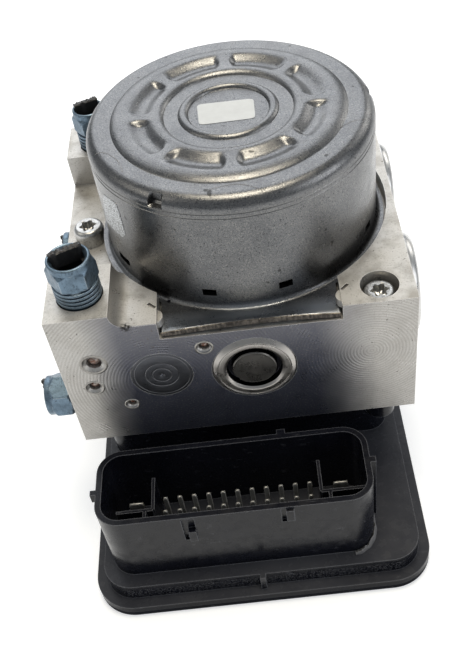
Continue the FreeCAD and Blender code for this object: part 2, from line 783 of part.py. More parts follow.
def valve_coils():
    """The eight wound coils with their steel yokes, round the domes."""
    low = coil_base()
    bore, waist, flange_top = dome_radius + free_gap, coil_radius - coil_groove, coil_height - coil_flange
    outline = [(bore, 0), (coil_radius, 0), (coil_radius, coil_flange), (waist, coil_flange),
               (waist, flange_top), (coil_radius, flange_top), (coil_radius, coil_height), (bore, coil_height)]
    coil = turned(outline)
    places = [place for row in valve_rows for place in valve_places(row)]
    return Part.makeCompound([moved(coil, Vector(place.x, place.y, low)) for place in places])


def coil_base():
    """The underside of the coils, above the board."""
    return board_top() + coil_level


def board_top():
    """The top face of the circuit board."""
    return cover_thickness + board_gap + board_thickness


def nut_profile(thread, exposed):
    """The turned envelope of a tube nut: engaged end, open thread grooves, shank and rounded lip."""
    root = thread - 0.55
    core = thread - press_gap - 0.05
    points = [(0, -nut_engaged), (root - 0.6, -nut_engaged), (core, -nut_engaged + 1.2), (core, 0.15)]
    turns = max(1, int((exposed - 0.5) / thread_pitch))
    for turn in range(turns):
        z = 0.15 + turn * thread_pitch
        points += [(root, z + thread_pitch * 0.3), (root, z + thread_pitch * 0.5), (core, z + thread_pitch * 0.8),
                   (core, z + thread_pitch)]
    return points + [(core, exposed), (0, exposed)]


def tube_nut(thread, exposed):
    """A brake line nut stood on its port face along +Z."""
    corner = thread * 1.06
    shank = turned(nut_profile(thread, exposed))
    angles = [math.radians(60 * k + hex_turn) for k in range(7)]
    points = [Vector(corner * math.cos(angle), corner * math.sin(angle), exposed) for angle in angles]
    hexagon = Part.Face(Part.makePolygon(points)).extrude(UP * hex_height)
    mouth = thread * 0.86
    envelope = turned([(0, exposed), (corner - 0.5, exposed), (corner, exposed + 0.5), (corner, exposed + hex_height - 2.6),
                       (corner - 0.5, exposed + hex_height - 1.2), (mouth, exposed + hex_height), (0, exposed + hex_height)])
    bore = cylinder(stub_radius(thread) + press_gap, nut_engaged + exposed + hex_height + 2, Vector(0, 0, -nut_engaged - 1))
    return fused([shank, hexagon.common(envelope)]).cut(bore)


def stub_radius(thread):
    """The outer radius of the coated pipe in a nut."""
    return thread * 0.68


def pipe_stub(thread, exposed):
    """The cut-off end of a brake pipe, torn off at a slant above its nut."""
    outer = stub_radius(thread)
    top = exposed + hex_height
    pipe = tube(outer, outer - stub_wall, nut_engaged + top + stub_proud - 0.4, Vector(0, 0, -nut_engaged + 0.4))
    slant = Part.makeBox(4 * outer, 4 * outer, 10.0, Vector(-2 * outer, -2 * outer, 0))
    slant.rotate(Vector(0, 0, 0), RIGHT, stub_slant)
    return pipe.cut(moved(slant, Vector(0, 0, top - 0.8)))


def line_ports():
    """Each line port: its point on the block, its outward axis, thread radius and exposed thread."""
    side_level, rear_level = block_bottom + side_nut_height, block_bottom + rear_nut_height
    front_top, rear_top = block_bottom + front_boss_height, block_bottom + rear_boss_height
    ports = [(Vector(top_nut_left, front_nut_row, front_top), UP, large_thread, top_nut_exposed),
             (Vector(top_nut_left, rear_nut_row, rear_top), UP, small_thread, top_nut_exposed)]
    ports += [(Vector(block_left, row, side_level), LEFT, large_thread, side_nut_exposed) for row in side_nut_rows]
    ports += [(Vector(x, block_back, rear_level), BACK, small_thread, side_nut_exposed) for x in rear_nuts]
    return ports


def at_port(shape, point, axis):
    """A copy of a shape that stands along +Z, placed on a port."""
    copy = shape.copy()
    copy.Placement = Placement(point, Rotation(UP, axis))
    return copy


def line_nuts():
    """The six brake line nuts."""
    return Part.makeCompound([at_port(tube_nut(thread, exposed), point, axis)
                              for point, axis, thread, exposed in line_ports()])


def pipe_stubs():
    """The six cut-off brake pipes in the nuts."""
    return Part.makeCompound([at_port(pipe_stub(thread, exposed), point, axis)
                              for point, axis, thread, exposed in line_ports()])


def torx_star(radius, depth):
    """A six-lobed socket that opens downwards from z = 0."""
    core = cylinder(radius * 0.78, depth, Vector(0, 0, -depth))
    lobes = [cylinder(radius * 0.3, depth, Vector(radius * 0.7 * math.cos(math.radians(60 * k)),
                                                  radius * 0.7 * math.sin(math.radians(60 * k)), -depth)) for k in range(6)]
    return fused([core] + lobes)


def cap_screw():
    """A socket cap screw whose head rests on z = 0."""
    length = screw_seat - block_bottom + screw_grip
    body = turned([(0, -length), (screw_radius - 0.6, -length), (screw_radius, -length + 0.8), (screw_radius, 0),
                   (screw_head_radius, 0), (screw_head_radius, screw_head_height - 0.7),
                   (screw_head_radius - 0.5, screw_head_height), (0, screw_head_height)])
    return body.cut(moved(torx_star(torx_radius, torx_depth), Vector(0, 0, screw_head_height)))


def ecu_screws():
    """The screws that pull the control unit up against the block."""
    return Part.makeCompound([moved(cap_screw(), Vector(x, y, screw_seat)) for x, y in screw_places])


def ball_plug_group():
    """The hardened balls pressed into the cross drillings of the front face."""
    return Part.makeCompound([Part.makeSphere(radius, Vector(x, block_front + ball_sink + radius, block_bottom + height))
                              for x, height, radius in ball_plugs])


def damper_disc():
    """The disc that closes the damper chamber flush with the front face."""
    base = Vector(damper_x, block_front, block_bottom + damper_height)
    outer, groove = damper_radius - press_gap, damper_sink + damper_ring_depth
    profile = [(0, damper_sink), (damper_ring - damper_ring_depth, damper_sink), (damper_ring, groove),
               (damper_ring + damper_ring_depth, damper_sink), (outer, damper_sink), (outer, damper_length),
               (0, damper_length)]
    return turned(profile, base, BACK)


def block_deck():
    """The block's body with its bosses, trough, notch and motor seat, before any bore."""
    top = block_bottom + mid_height
    front_top, rear_top = block_bottom + front_boss_height, block_bottom + rear_boss_height
    body = box(block_left, block_right, block_front, block_back, block_bottom, top)
    fillet_end = boss_inner + boss_fillet
    front_boss = box(block_left, fillet_end, block_front, front_boss_end, top - 1, front_top)
    hollow = cylinder(boss_fillet, block_depth, Vector(fillet_end, block_front - 1, top + boss_fillet), BACK)
    corner = box(boss_inner, fillet_end + 1, block_front - 1, front_boss_end + 1, top + boss_fillet, front_top + 1)
    front_boss = front_boss.cut([hollow, corner])
    rear_boss = box(block_left, boss_inner, rear_boss_start, block_back, top - 1, rear_top)
    seat = cylinder(flange_radius, front_boss_height, Vector(0, 0, block_bottom))
    trough = box(block_left - 1, 0, front_boss_end, rear_boss_start, left_floor, front_top + 1).cut(seat)
    recess = cylinder(flange_radius + flange_gap, front_boss_height, Vector(0, 0, seat_level))
    notch = box(notch_left, notch_right, block_front - 1, 0, seat_level, front_top + 1)
    right_cut = box(notch_right, block_right + 1, block_front - 1, block_back + 1,
                    block_bottom + right_height, front_top + 1)
    deck = fused([body, front_boss, rear_boss]).cut([trough, recess, notch, right_cut])
    for edge, side, top in ((notch_left, -1, mid_height), (notch_right, 1, right_height)):
        stake, mark = tongue_stake(edge, side, block_bottom + top)
        deck = deck.fuse(stake).cut(mark)
    return deck


def tongue_stake(edge, side, top):
    """The bulge of the notch wall staked over one end of the can's tongue, and the punch mark beside it."""
    middle = edge + side * (stake_radius - stake_reach)
    low = seat_level + flange_thickness + free_gap
    stake = cylinder(stake_radius, stake_height, Vector(middle, stake_row, low))
    mark_x, mark_y = edge + side * stake_reach, stake_row + stake_mark_length
    mark = box(mark_x - stake_mark_width / 2, mark_x + stake_mark_width / 2, mark_y - stake_mark_length / 2,
               mark_y + stake_mark_length / 2, top - stake_mark_depth, top + 1)
    return stake, spun(mark, -side * stake_mark_turn, Vector(mark_x, mark_y, 0))


def motor_bores():
    """The stepped bore for bearing, eccentric and tail bush, the contact bore and the seal groove."""
    seal_outer = can_bore - seal_inset
    return [cylinder(bearing_outer_radius, mid_height, Vector(0, 0, bearing_bottom)),
            cylinder(chamber_radius, bearing_bottom - tail_top + 1, Vector(0, 0, tail_top)),
            cylinder(tail_bush_radius, tail_bush_height + 1, Vector(0, 0, tail_low)),
            cylinder(contact_sleeve + press_gap, mid_height, Vector(contact_x, contact_y, block_bottom - 1)),
            tube(seal_outer + press_gap, seal_outer - seal_width - press_gap, seal_section + 1,
                 Vector(0, 0, seat_level - seal_section))]


def pump_bores(side):
    """The stepped bore of one pump."""
    axis, base = pump_side(side)
    sleeve = cylinder(sleeve_radius + press_gap, plug_inner, base, axis)
    plug = cylinder(plug_body_radius + press_gap, plug_length + 1, on_axis(base, axis, plug_inner), axis)
    mouth = cylinder(plug_radius + press_gap, plug_shoulder + 1, on_axis(base, axis, block_depth / 2 - plug_shoulder), axis)
    return [sleeve, plug, mouth]


def accumulator_bores(row):
    """The bore of one accumulator and the seat of its cap."""
    base = accumulator_base(row)
    bore = cylinder(accumulator_bore, accumulator_depth + 1, base + LEFT * accumulator_depth, RIGHT)
    mouth = cylinder(accumulator_cap_radius + press_gap, accumulator_cap_seat + 1, base + LEFT * accumulator_cap_seat, RIGHT)
    return [bore, mouth]


def valve_bores():
    """The eight valve bores with their collar steps."""
    bores = []
    for row in valve_rows:
        for place in valve_places(row):
            bores.append(cylinder(valve_bore, valve_depth + 1, place - UP))
            bores.append(cylinder(valve_collar_radius, valve_collar_height + 1, place - UP))
    return bores


def port_bores():
    """The six line ports."""
    return [cylinder(thread, port_depth + 1, point - axis * port_depth, axis)
            for point, axis, thread, exposed in line_ports()]


def screw_bores():
    """The clearance holes of the screws and the counterbores in the high deck."""
    bores = []
    for x, y in screw_places:
        bores.append(cylinder(screw_radius + free_gap, screw_seat, Vector(x, y, block_bottom - 1)))
        bores.append(cylinder(counterbore_radius, mid_height, Vector(x, y, screw_seat)))
    return bores


def face_bores():
    """The ball plug drillings, the damper bore and the threaded mounting holes."""
    bores = []
    for x, height, radius in ball_plugs:
        mouth = Vector(x, block_front, block_bottom + height)
        bores.append(cylinder(radius, ball_sink + 2 * radius + 3, mouth - BACK, BACK))
        bores.append(Part.makeCone(radius * ball_land, radius, ball_sink * 0.7, mouth, BACK))
    damper_mouth = Vector(damper_x, block_front - 1, block_bottom + damper_height)
    bores.append(cylinder(damper_radius, damper_length + 1, damper_mouth, BACK))
    for side in (-1, 1):
        mouth = Vector(side * mount_hole_span / 2, block_back, block_bottom + mount_hole_height)
        bores.append(cylinder(mount_hole_radius, mount_hole_depth + 1, mouth + FRONT * mount_hole_depth, BACK))
    return bores


def valve_block():
    """The machined aluminium block with all its bores."""
    cuts = motor_bores() + pump_bores(-1) + pump_bores(1) + valve_bores() + port_bores() + screw_bores() + face_bores()
    for row in (accumulator_front, accumulator_rear):
        cuts += accumulator_bores(row)
    return block_deck().cut(cuts)


def shelf_outline():
    """The edges of the housing's shelf, inside the rim."""
    return (ecu_left + rim_overhang, ecu_right - rim_overhang, ecu_front + rim_overhang, ecu_back - rim_overhang,
            ecu_corner - rim_overhang)


def tower_outline(inset=0.0):
    """The edges of the housing's upper wall, moved inwards by an inset."""
    return (tower_left + inset, tower_right - inset, tower_front + inset, ecu_back - rim_overhang - inset,
            max(tower_corner - inset, 0.5))


def screw_lugs():
    """The lugs and inner towers in the housing that take the screws."""
    lugs = []
    for x, y in screw_places:
        post = cylinder(lug_radius, ecu_height - lug_bottom, Vector(x, y, lug_bottom))
        reach_y = max(tower_front + ecu_wall, min(y, ecu_back - rim_overhang - ecu_wall))
        reach_x = max(tower_left + ecu_wall / 2, min(x, tower_right - ecu_wall / 2))
        web = box(min(x, reach_x) - lug_radius * 0.8, max(x, reach_x) + lug_radius * 0.8,
                  min(y, reach_y) - 0.1, max(y, reach_y) + 0.1, lug_bottom, ecu_height)
        lugs += [post, web]
    return lugs


def ecu_housing():
    """The moulded housing: rim, shelf, upper wall, connector shroud, dividers and catches."""
    rim_low = cover_thickness
    rim_high = rim_low + rim_thickness
    x0, x1, y0, y1, r = shelf_outline()
    rim = plate(ecu_left, ecu_right, ecu_front, ecu_back, ecu_corner, rim_low, rim_high)
    shelf = plate(x0, x1, y0, y1, r, rim_high - 0.1, shelf_top)
    tower = plate(*tower_outline(), shelf_top - 0.1, ecu_height)
    shroud = plate(shroud_left, shroud_right, shroud_front, shroud_back, shroud_corner,
                   shelf_top - 0.1, shelf_top + shroud_height)
    shroud_foot, shroud_top = shelf_top - 0.1, shelf_top + shroud_height
    peg = box(shroud_left - guide_proud, shroud_left + 1, peg_row - peg_width / 2, peg_row + peg_width / 2,
              shroud_top - peg_drop, shroud_top)
    guide = box(shroud_right - 1, shroud_right + guide_proud, guide_row - guide_width / 2, guide_row + guide_width / 2,
                shroud_foot, shroud_top)
    drop_rib_box = box(drop_rib - drop_rib_width / 2, drop_rib + drop_rib_width / 2, y0 - drop_rib_proud, y0 + 1,
                       rim_high - 0.1, shelf_top)
    catch = box(rear_catch - rear_catch_width / 2, rear_catch + rear_catch_width / 2, shroud_back - 1,
                shroud_back + guide_proud, shroud_top - rear_catch_drop, shroud_top)
    outside = fused([rim, shelf, tower, shroud, peg, guide, drop_rib_box, catch])
    w = ecu_wall
    cavity = plate(x0 + w, x1 - w, y0 + w, y1 - w, max(r - w, 0.5), rim_low - 1, shelf_floor)
    well = plate(*tower_outline(w), shelf_floor - 1, ecu_height + 1)
    socket = plate(shroud_left + shroud_wall, shroud_right - shroud_wall, shroud_front + shroud_wall,
                   shroud_back - shroud_wall, shroud_corner - shroud_wall, shelf_top, shelf_top + shroud_height + 1)
    pockets, nubs = front_catch_pairs(shroud_top)
    body = outside.cut([cavity, well, socket] + pockets)
    body = fused([body] + nubs + dividers() + [lug.common(lug_space()) for lug in screw_lugs()])
    holes = [cylinder(screw_radius + press_gap, 2 * screw_grip, Vector(x, y, lug_bottom)) for x, y in screw_places]
    return body.cut(holes + [gasket_ring(press_gap)] + terminal_slots())


def front_catch_pairs(top):
    """The shallow pockets in the shroud's front wall and the nub in each that the plug's latch hooks on."""
    pockets, nubs = [], []
    floor = shroud_front + pocket_depth
    for middle, pocket_drop, nub_drop in front_catches:
        right = middle + pocket_width / 2
        pockets.append(box(middle - pocket_width / 2, right, shroud_front - 1, floor, top - pocket_drop, top - pocket_lip))
        nubs.append(box(right - nub_width, right, shroud_front - nub_proud, floor + 0.1,
                        top - nub_drop - nub_height, top - nub_drop))
    return pockets, nubs


def lug_space():
    """The space that the screw lugs may fill under the block."""
    return box(block_left + 0.5, block_right - 0.5, block_front + 0.5, ecu_back - rim_overhang, shelf_top, ecu_height)


def dividers():
    """The walls in the socket between the signal pins and the two power chambers."""
    z0, z1 = shelf_top - 0.1, shelf_top + divider_height
    half = divider_wall / 2
    left_stub, right_stub = left_divider - stub_offset, right_divider + stub_offset
    inner_front = shroud_front + shroud_wall - 0.2
    return [box(left_divider - half, left_divider + half, divider_front, divider_back, z0, z1),
            box(right_divider - half, right_divider + half, divider_front, divider_back, z0, z1),
            box(left_divider - 10.0, left_divider, divider_front - half, divider_front + half, z0, z1),
            box(right_divider, shroud_right - shroud_wall + 0.2, divider_front - half, divider_front + half, z0, z1),
            box(left_stub - half, left_stub + half, inner_front, divider_front, z0, z1),
            box(right_stub - half, right_stub + half, inner_front, divider_front, z0, z1)]


def gasket_ring(extra):
    """The gasket's ring in the top edge of the housing's upper wall."""
    inset = (ecu_wall - gasket_width) / 2 - extra
    outer = plate(*tower_outline(inset), ecu_height - gasket_thickness - extra, ecu_height)
    inner = plate(*tower_outline(inset + gasket_width + 2 * extra), ecu_height - gasket_thickness - 2, ecu_height + 1)
    return outer.cut(inner)


def ecu_cover():
    """The welded bottom cover with its raised inner edge."""
    x0, x1, y0, y1, r = shelf_outline()
    slab = plate(ecu_left, ecu_right, ecu_front, ecu_back, ecu_corner, 0, cover_thickness)
    w = ecu_wall + press_gap
    lip = plate(x0 + w, x1 - w, y0 + w, y1 - w, max(r - w, 0.5), cover_thickness - 0.1, cover_thickness + board_gap)
    hollow = plate(x0 + w + 1.2, x1 - w - 1.2, y0 + w + 1.2, y1 - w - 1.2, max(r - w - 1.2, 0.4),
                   cover_thickness, cover_thickness + board_gap + 1)
    return fused([slab, lip]).cut(hollow)


def circuit_board():
    """The board that rests on the cover's inner edge."""
    x0, x1, y0, y1, r = shelf_outline()
    w = ecu_wall + free_gap
    z = cover_thickness + board_gap
    return plate(x0 + w, x1 - w, y0 + w, y1 - w, max(r - w, 0.5), z, z + board_thickness)


def terminal(x, y, width, thickness, height):
    """One upright terminal from the board up through the shelf, with a chamfered tip."""
    low = board_top()
    high = shelf_top + height
    stem = box(x - width / 2, x + width / 2, y - thickness / 2, y + thickness / 2, low, high)
    rim = [edge for edge in stem.Edges if edge.BoundBox.ZMin > high - 0.001]
    return stem.makeChamfer(thickness * 0.3, rim)


def connector_pins():
    """The two rows of signal pins."""
    pins = [terminal(pin_first + pin_pitch * k, row, pin_width, pin_thickness, pin_height)
            for row in (pin_row_back, pin_row_front) for k in range(pin_count)]
    return Part.makeCompound(pins)


def power_places():
    """The power blades: middle, row and width."""
    return [(left_blade, blade_row, blade_width), (right_blade, blade_row, blade_width),
            (wake_blade, wake_blade_row, wake_blade_width)]


def power_terminals():
    """The broad blades of the power supply."""
    return Part.makeCompound([terminal(x, y, width, blade_thickness, blade_height) for x, y, width in power_places()])


def terminal_slots():
    """The holes in the shelf that the terminals pass through."""
    places = [(pin_first + pin_pitch * k, row, pin_width, pin_thickness)
              for row in (pin_row_back, pin_row_front) for k in range(pin_count)]
    places += [(x, y, width, blade_thickness) for x, y, width in power_places()]
    return [box(x - width / 2 - press_gap, x + width / 2 + press_gap, y - thickness / 2 - press_gap,
                y + thickness / 2 + press_gap, shelf_floor - 1, shelf_top + 1) for x, y, width, thickness in places]


nodes = {
    "motor_can": motor_can(),
    "magnets": magnets(),
    "armature_core": armature_core(),
    "armature_winding": armature_winding(),
    "commutator": commutator(),
    "motor_shaft": motor_shaft(),
    "rear_bush": rear_bush(),
    "bush_retainer": bush_retainer(),
    "tail_bush": tail_bush(),
    "bearing_outer_race": bearing_race(True),
    "bearing_inner_race": bearing_race(False),
    "bearing_balls": bearing_balls(),
    "eccentric_ring": eccentric_ring(),
    "eccentric_needles": eccentric_needles(),
    "brushes": commutator_brushes(),
    "brush_springs": brush_springs(),
    "brush_plate": brush_plate(),
    "motor_contacts": motor_contacts(),
    "motor_seal": motor_seal(),
    "pump_check_balls": pump_check_balls(),
    "valve_block": valve_block(),
    "inlet_valve_bodies": valve_bodies(valve_rows[0]),
    "outlet_valve_bodies": valve_bodies(valve_rows[1]),
    "valve_domes": valve_domes(),
    "valve_coils": valve_coils(),
    "damper_disc": damper_disc(),
    "ball_plugs": ball_plug_group(),
    "line_nuts": line_nuts(),
    "pipe_stubs": pipe_stubs(),
    "ecu_screws": ecu_screws(),
    "ecu_gasket": gasket_ring(0.0),
    "ecu_housing": ecu_housing(),
    "ecu_cover": ecu_cover(),
    "circuit_board": circuit_board(),
    "connector_pins": connector_pins(),
    "power_terminals": power_terminals(),
}
for name, side in (("front", -1), ("rear", 1)):
    nodes["pump_piston_" + name] = pump_piston(side)
    nodes["pump_cylinder_" + name] = pump_cylinder(side)
    nodes["pump_spring_" + name] = pump_spring(side)
    nodes["pump_plug_" + name] = pump_plug(side)
for name, row in (("front", accumulator_front), ("rear", accumulator_rear)):
    nodes["accumulator_cap_" + name] = accumulator_cap(row)
    nodes["accumulator_piston_" + name] = accumulator_piston(row)
    nodes["accumulator_seal_" + name] = accumulator_seal_ring(row)
    nodes["accumulator_spring_" + name] = accumulator_spring(row)
for k in range(4):
    nodes["inlet_armature_" + str(k + 1)] = valve_armature(valve_places(valve_rows[0])[k], True)
    nodes["outlet_armature_" + str(k + 1)] = valve_armature(valve_places(valve_rows[1])[k], False)

os.makedirs("parts", exist_ok=True)
for name, shape in nodes.items():
    shape.exportStep("parts/" + name + ".step")
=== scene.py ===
import json
import logging
import math
from collections.abc import Callable, Collection, Sequence
from dataclasses import dataclass, field
from enum import Enum

import bmesh
import bpy
from mathutils import Matrix, Vector, noise


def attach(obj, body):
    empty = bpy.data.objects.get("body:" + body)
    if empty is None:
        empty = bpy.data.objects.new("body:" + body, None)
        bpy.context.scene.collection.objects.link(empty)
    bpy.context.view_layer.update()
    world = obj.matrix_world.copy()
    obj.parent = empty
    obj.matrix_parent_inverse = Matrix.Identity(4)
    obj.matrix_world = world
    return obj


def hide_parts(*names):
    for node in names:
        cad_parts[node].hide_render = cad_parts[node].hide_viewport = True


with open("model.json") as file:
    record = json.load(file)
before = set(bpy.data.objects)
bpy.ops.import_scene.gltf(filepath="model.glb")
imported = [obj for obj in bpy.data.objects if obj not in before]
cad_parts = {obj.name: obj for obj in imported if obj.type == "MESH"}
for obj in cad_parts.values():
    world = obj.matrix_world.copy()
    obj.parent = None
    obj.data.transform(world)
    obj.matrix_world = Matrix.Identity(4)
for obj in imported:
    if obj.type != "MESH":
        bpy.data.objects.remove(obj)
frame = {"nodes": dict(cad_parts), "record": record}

Point = tuple[float, float, float]
Pair = tuple[float, float]
Color = tuple[float, float, float]
Material, Mesh, Socket = bpy.types.Material, bpy.types.Mesh, bpy.types.NodeSocket

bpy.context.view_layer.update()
BODY = "housing"
MM = 0.001
SEED = 7
# The smallest radius of a ring, in millimetres, and the weld distances, in metres
TINY, WELD, CAD_WELD = 1e-6, 1e-6, 2e-6
# In degrees: what counts as flat in a CAD mesh, and the least angle that is rounded
FLAT_ANGLE, ROUNDED_ANGLE = 0.6, 38.0
# The area in square metres from which a face keeps its own normal
LARGE_FACE = 2e-5
# A wave texture's scale times the pitch of its rings in metres
RING_SCALE = 0.314
log = logging.getLogger("brake_module")


class Axis(Enum):
    """The ways a turned piece can stand, as the turn that lays +Z along each."""

    UP = Matrix.Identity(4)
    LEFT = Matrix.Rotation(math.radians(-90.0), 4, "Y")
    RIGHT = Matrix.Rotation(math.radians(90.0), 4, "Y")
    FRONT = Matrix.Rotation(math.radians(90.0), 4, "X")
    BACK = Matrix.Rotation(math.radians(-90.0), 4, "X")


@dataclass
class Shape:
    """Points in millimetres and the faces between them."""

    points: list[Point] = field(default_factory=list)
    faces: list[tuple[int, ...]] = field(default_factory=list)

    def add(self, other: "Shape") -> "Shape":
        """Joins a copy of another shape to this one, and returns this one."""
        start = len(self.points)
        self.points += other.points
        self.faces += [tuple(start + i for i in face) for face in other.faces]
        return self

    def stood(self, axis: Axis, x: float, y: float, z: float) -> "Shape":
        """A copy that stands along an axis on a point in millimetres."""
        place = Matrix.Translation((x, y, z)) @ axis.value
        return Shape([tuple(place @ Vector(p)) for p in self.points], self.faces)

    def lay(self, ring: Sequence[Point]) -> range:
        """Adds a ring of points and returns their numbers."""
        start = len(self.points)
        self.points += ring
        return range(start, len(self.points))

    def join(self, low: range, high: range, without: Collection[int] = ()) -> None:
        """Puts faces between two rings, of which either may be one point, but for the steps left out."""
        count = max(len(low), len(high))
        for k in range(count):
            n = (k + 1) % count
            if k not in without:
                corners = [low[k % len(low)], low[n % len(low)], high[n % len(high)], high[k % len(high)]]
                self.faces.append(tuple(dict.fromkeys(corners)))


def smooth(low: float, high: float, value: float) -> float:
    """A soft step from 0 at low to 1 at high."""
    t = min(max((value - low) / (high - low), 0.0), 1.0)
    return t * t * (3.0 - 2.0 * t)


def round_point(r: float, h: float, angle: float) -> Point:
    """The point at a radius, a height and an angle."""
    return r * math.cos(angle), r * math.sin(angle), h


def soft_corner(start: Vector, corner: Vector, end: Vector, steps: int) -> list[Pair]:
    """The points of a curve that leaves for a corner and comes in from it."""
    shares = [k / steps for k in range(steps + 1)]
    curve = [start * (1 - t) ** 2 + corner * 2 * t * (1 - t) + end * t * t for t in shares]
    return [(point.x, point.y) for point in curve]


def sides(path: Sequence[Vector]) -> list[Vector]:
    """The unit vectors to the left of a flat path, at each of its points."""
    aheads = [path[min(i + 1, len(path) - 1)] - path[max(i - 1, 0)] for i in range(len(path))]
    return [Vector((-ahead.y, ahead.x)).normalized() for ahead in aheads]


def softened(corners: Sequence[Point], steps: int = 4) -> list[Pair]:
    """Rounds the corners of a profile.

    Args:
        corners: Each corner's radius, height and rounding, in millimetres.
        steps: The number of short edges in each rounding.

    Returns:
        The profile's (radius, height) points.
    """
    line: list[Pair] = []
    for i, (r, h, rounding) in enumerate(corners):
        here = Vector((r, h))
        if rounding <= 0.0 or i in (0, len(corners) - 1):
            line.append((r, h))
            continue
        before, after = (Vector(corners[k][:2]) - here for k in (i - 1, i + 1))
        reach = min(rounding, before.length * 0.49, after.length * 0.49)
        line += soft_corner(here + before.normalized() * reach, here, here + after.normalized() * reach, steps)
    return line


def skin(rings: Sequence[Sequence[Point]], closed: bool = False, capped: bool = False) -> Shape:
    """Puts faces between rings of points.

    Args:
        rings: The rings in turn, all of one count, or of one point where the skin closes.
        closed: Whether the last ring joins the first.
        capped: Whether the first and the last ring each get a face.

    Returns:
        The shape.
    """
    shape = Shape()
    rows = [shape.lay(ring) for ring in rings]
    for low, high in zip(rows, rows[1:] + rows[:1] if closed else rows[1:]):
        shape.join(low, high)
    if capped:
        shape.faces += [tuple(rows[0]), tuple(rows[-1])]
    return shape


def turned(profile: Sequence[Pair], segments: int, ring: bool = False,
           warp: Callable[[float, float, float], Point] = round_point) -> Shape:
    """Spins a profile about +Z.

    Args:
        profile: (radius, height) points; an end on the axis closes in one point.
        segments: The number of steps round the axis.
        ring: Whether the last point joins the first, as on a tube.
        warp: Turns radius, height and angle into a point.

    Returns:
        The turned shape.
    """
    angles = [2 * math.pi * k / segments for k in range(segments)]
    return skin([[warp(r, h, a) for a in angles[:1 if r < TINY else segments]] for r, h in profile], closed=ring)


def block(low: Point, high: Point) -> Shape:
    """A box between two corners."""
    (x0, y0, z0), (x1, y1, z1) = low, high
    return skin([[(x0, y0, z), (x1, y0, z), (x1, y1, z), (x0, y1, z)] for z in (z0, z1)], capped=True)


def make_mesh(name: str, shape: Shape) -> Mesh:
    """Turns a shape into a mesh in metres with its faces outwards."""
    bm = bmesh.new()
    corners = [bm.verts.new([c * MM for c in p]) for p in shape.points]
    for face in shape.faces:
        if len(face) > 2:
            bm.faces.new([corners[i] for i in face])
    bmesh.ops.remove_doubles(bm, verts=bm.verts, dist=WELD)
    bmesh.ops.recalc_face_normals(bm, faces=bm.faces)
    return released(name, bm)


def released(name: str, bm: bmesh.types.BMesh) -> Mesh:
    """Writes an edit mesh to a new mesh and frees it."""
    mesh = bpy.data.meshes.new(name)
    bm.to_mesh(mesh)
    bm.free()
    return mesh


def bevelled_copy(node: str, width: float) -> Mesh:
    """Copies a CAD node's mesh, merges it and rounds its edges by a width in millimetres."""
    bm = bmesh.new()
    bm.from_mesh(frame["nodes"][node].data)
    bmesh.ops.remove_doubles(bm, verts=bm.verts, dist=CAD_WELD)
    bmesh.ops.dissolve_limit(bm, angle_limit=math.radians(FLAT_ANGLE), verts=bm.verts, edges=bm.edges)
    edges = [e for e in bm.edges if e.is_manifold and e.calc_face_angle() > math.radians(ROUNDED_ANGLE)]
    bmesh.ops.bevel(bm, geom=edges, offset=width * MM, offset_type="OFFSET", segments=2, profile=0.5,
                    affect="EDGES", clamp_overlap=True, loop_slide=True)
    return released(node + "_soft", bm)


def evaluated_copy(mesh: Mesh, kind: str, **settings: object) -> Mesh:
    """Runs one modifier on a mesh.

    Args:
        mesh: The mesh.
        kind: The modifier's type.
        **settings: Its properties; one whose name is a socket's identifier goes to that socket.

    Returns:
        A plain mesh with the result.
    """
    carrier = bpy.data.objects.new("carrier", mesh)
    bpy.context.scene.collection.objects.link(carrier)
    modifier = carrier.modifiers.new("step", kind)
    for key, value in settings.items():
        if hasattr(modifier, key):
            setattr(modifier, key, value)
        else:
            modifier[key] = value
    bpy.context.view_layer.update()
    evaluated = carrier.evaluated_get(bpy.context.evaluated_depsgraph_get())
    result = bpy.data.meshes.new_from_object(evaluated)
    bpy.data.objects.remove(carrier)
    return result


def place_piece(name: str, form: Shape | Mesh, finish: Material, slot: str, stands_for: Sequence[str] = (),
                sharp: float = 34.0, even: bool = False) -> None:
    """Puts a finished form into the scene on the housing body.

    Args:
        name: The piece's name.
        form: Its shape, or its mesh at its final place.
        finish: Its material.
        slot: The record's material slot; not used.
        stands_for: The CAD nodes that it replaces.
        sharp: The smallest angle in degrees that stays an edge in the shading.
        even: Whether large flat faces keep their own normal beside small roundings.
    """
    mesh = make_mesh(name, form) if isinstance(form, Shape) else form
    mesh.materials.clear()
    mesh.materials.append(finish)
    mesh.shade_smooth()
    mesh.set_sharp_from_angle(angle=math.radians(sharp))
    if even:
        for face in mesh.polygons:
            if face.area > LARGE_FACE and len(face.vertices) > 4:
                face.use_smooth = False
        mesh = evaluated_copy(mesh, "WEIGHTED_NORMAL", mode="FACE_AREA", weight=90, keep_sharp=True)
    piece = bpy.data.objects.new(name, mesh)
    bpy.context.scene.collection.objects.link(piece)
    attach(piece, BODY)
    if stands_for:
        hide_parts(*stands_for)
    log.info("%s: %d faces", name, len(mesh.polygons))


class Tree:
    """A node tree, with short calls that add nodes and fill their inputs."""

    def __init__(self, tree: bpy.types.NodeTree) -> None:
        """Takes the tree."""
        self.tree = tree

    def feed(self, node: bpy.types.Node, inputs: dict[int | str, object]) -> None:
        """Gives each input a value, or wires it to a socket."""
        for key, value in inputs.items():
            if isinstance(value, Socket):
                self.tree.links.new(value, node.inputs[key])
            else:
                node.inputs[key].default_value = value

    def node(self, kind: str, inputs: dict[int | str, object] | None = None, **settings: object) -> bpy.types.Node:
        """A new node with its settings and inputs."""
        made = self.tree.nodes.new(kind)
        for key, value in settings.items():
            setattr(made, key, value)
        self.feed(made, inputs or {})
        return made


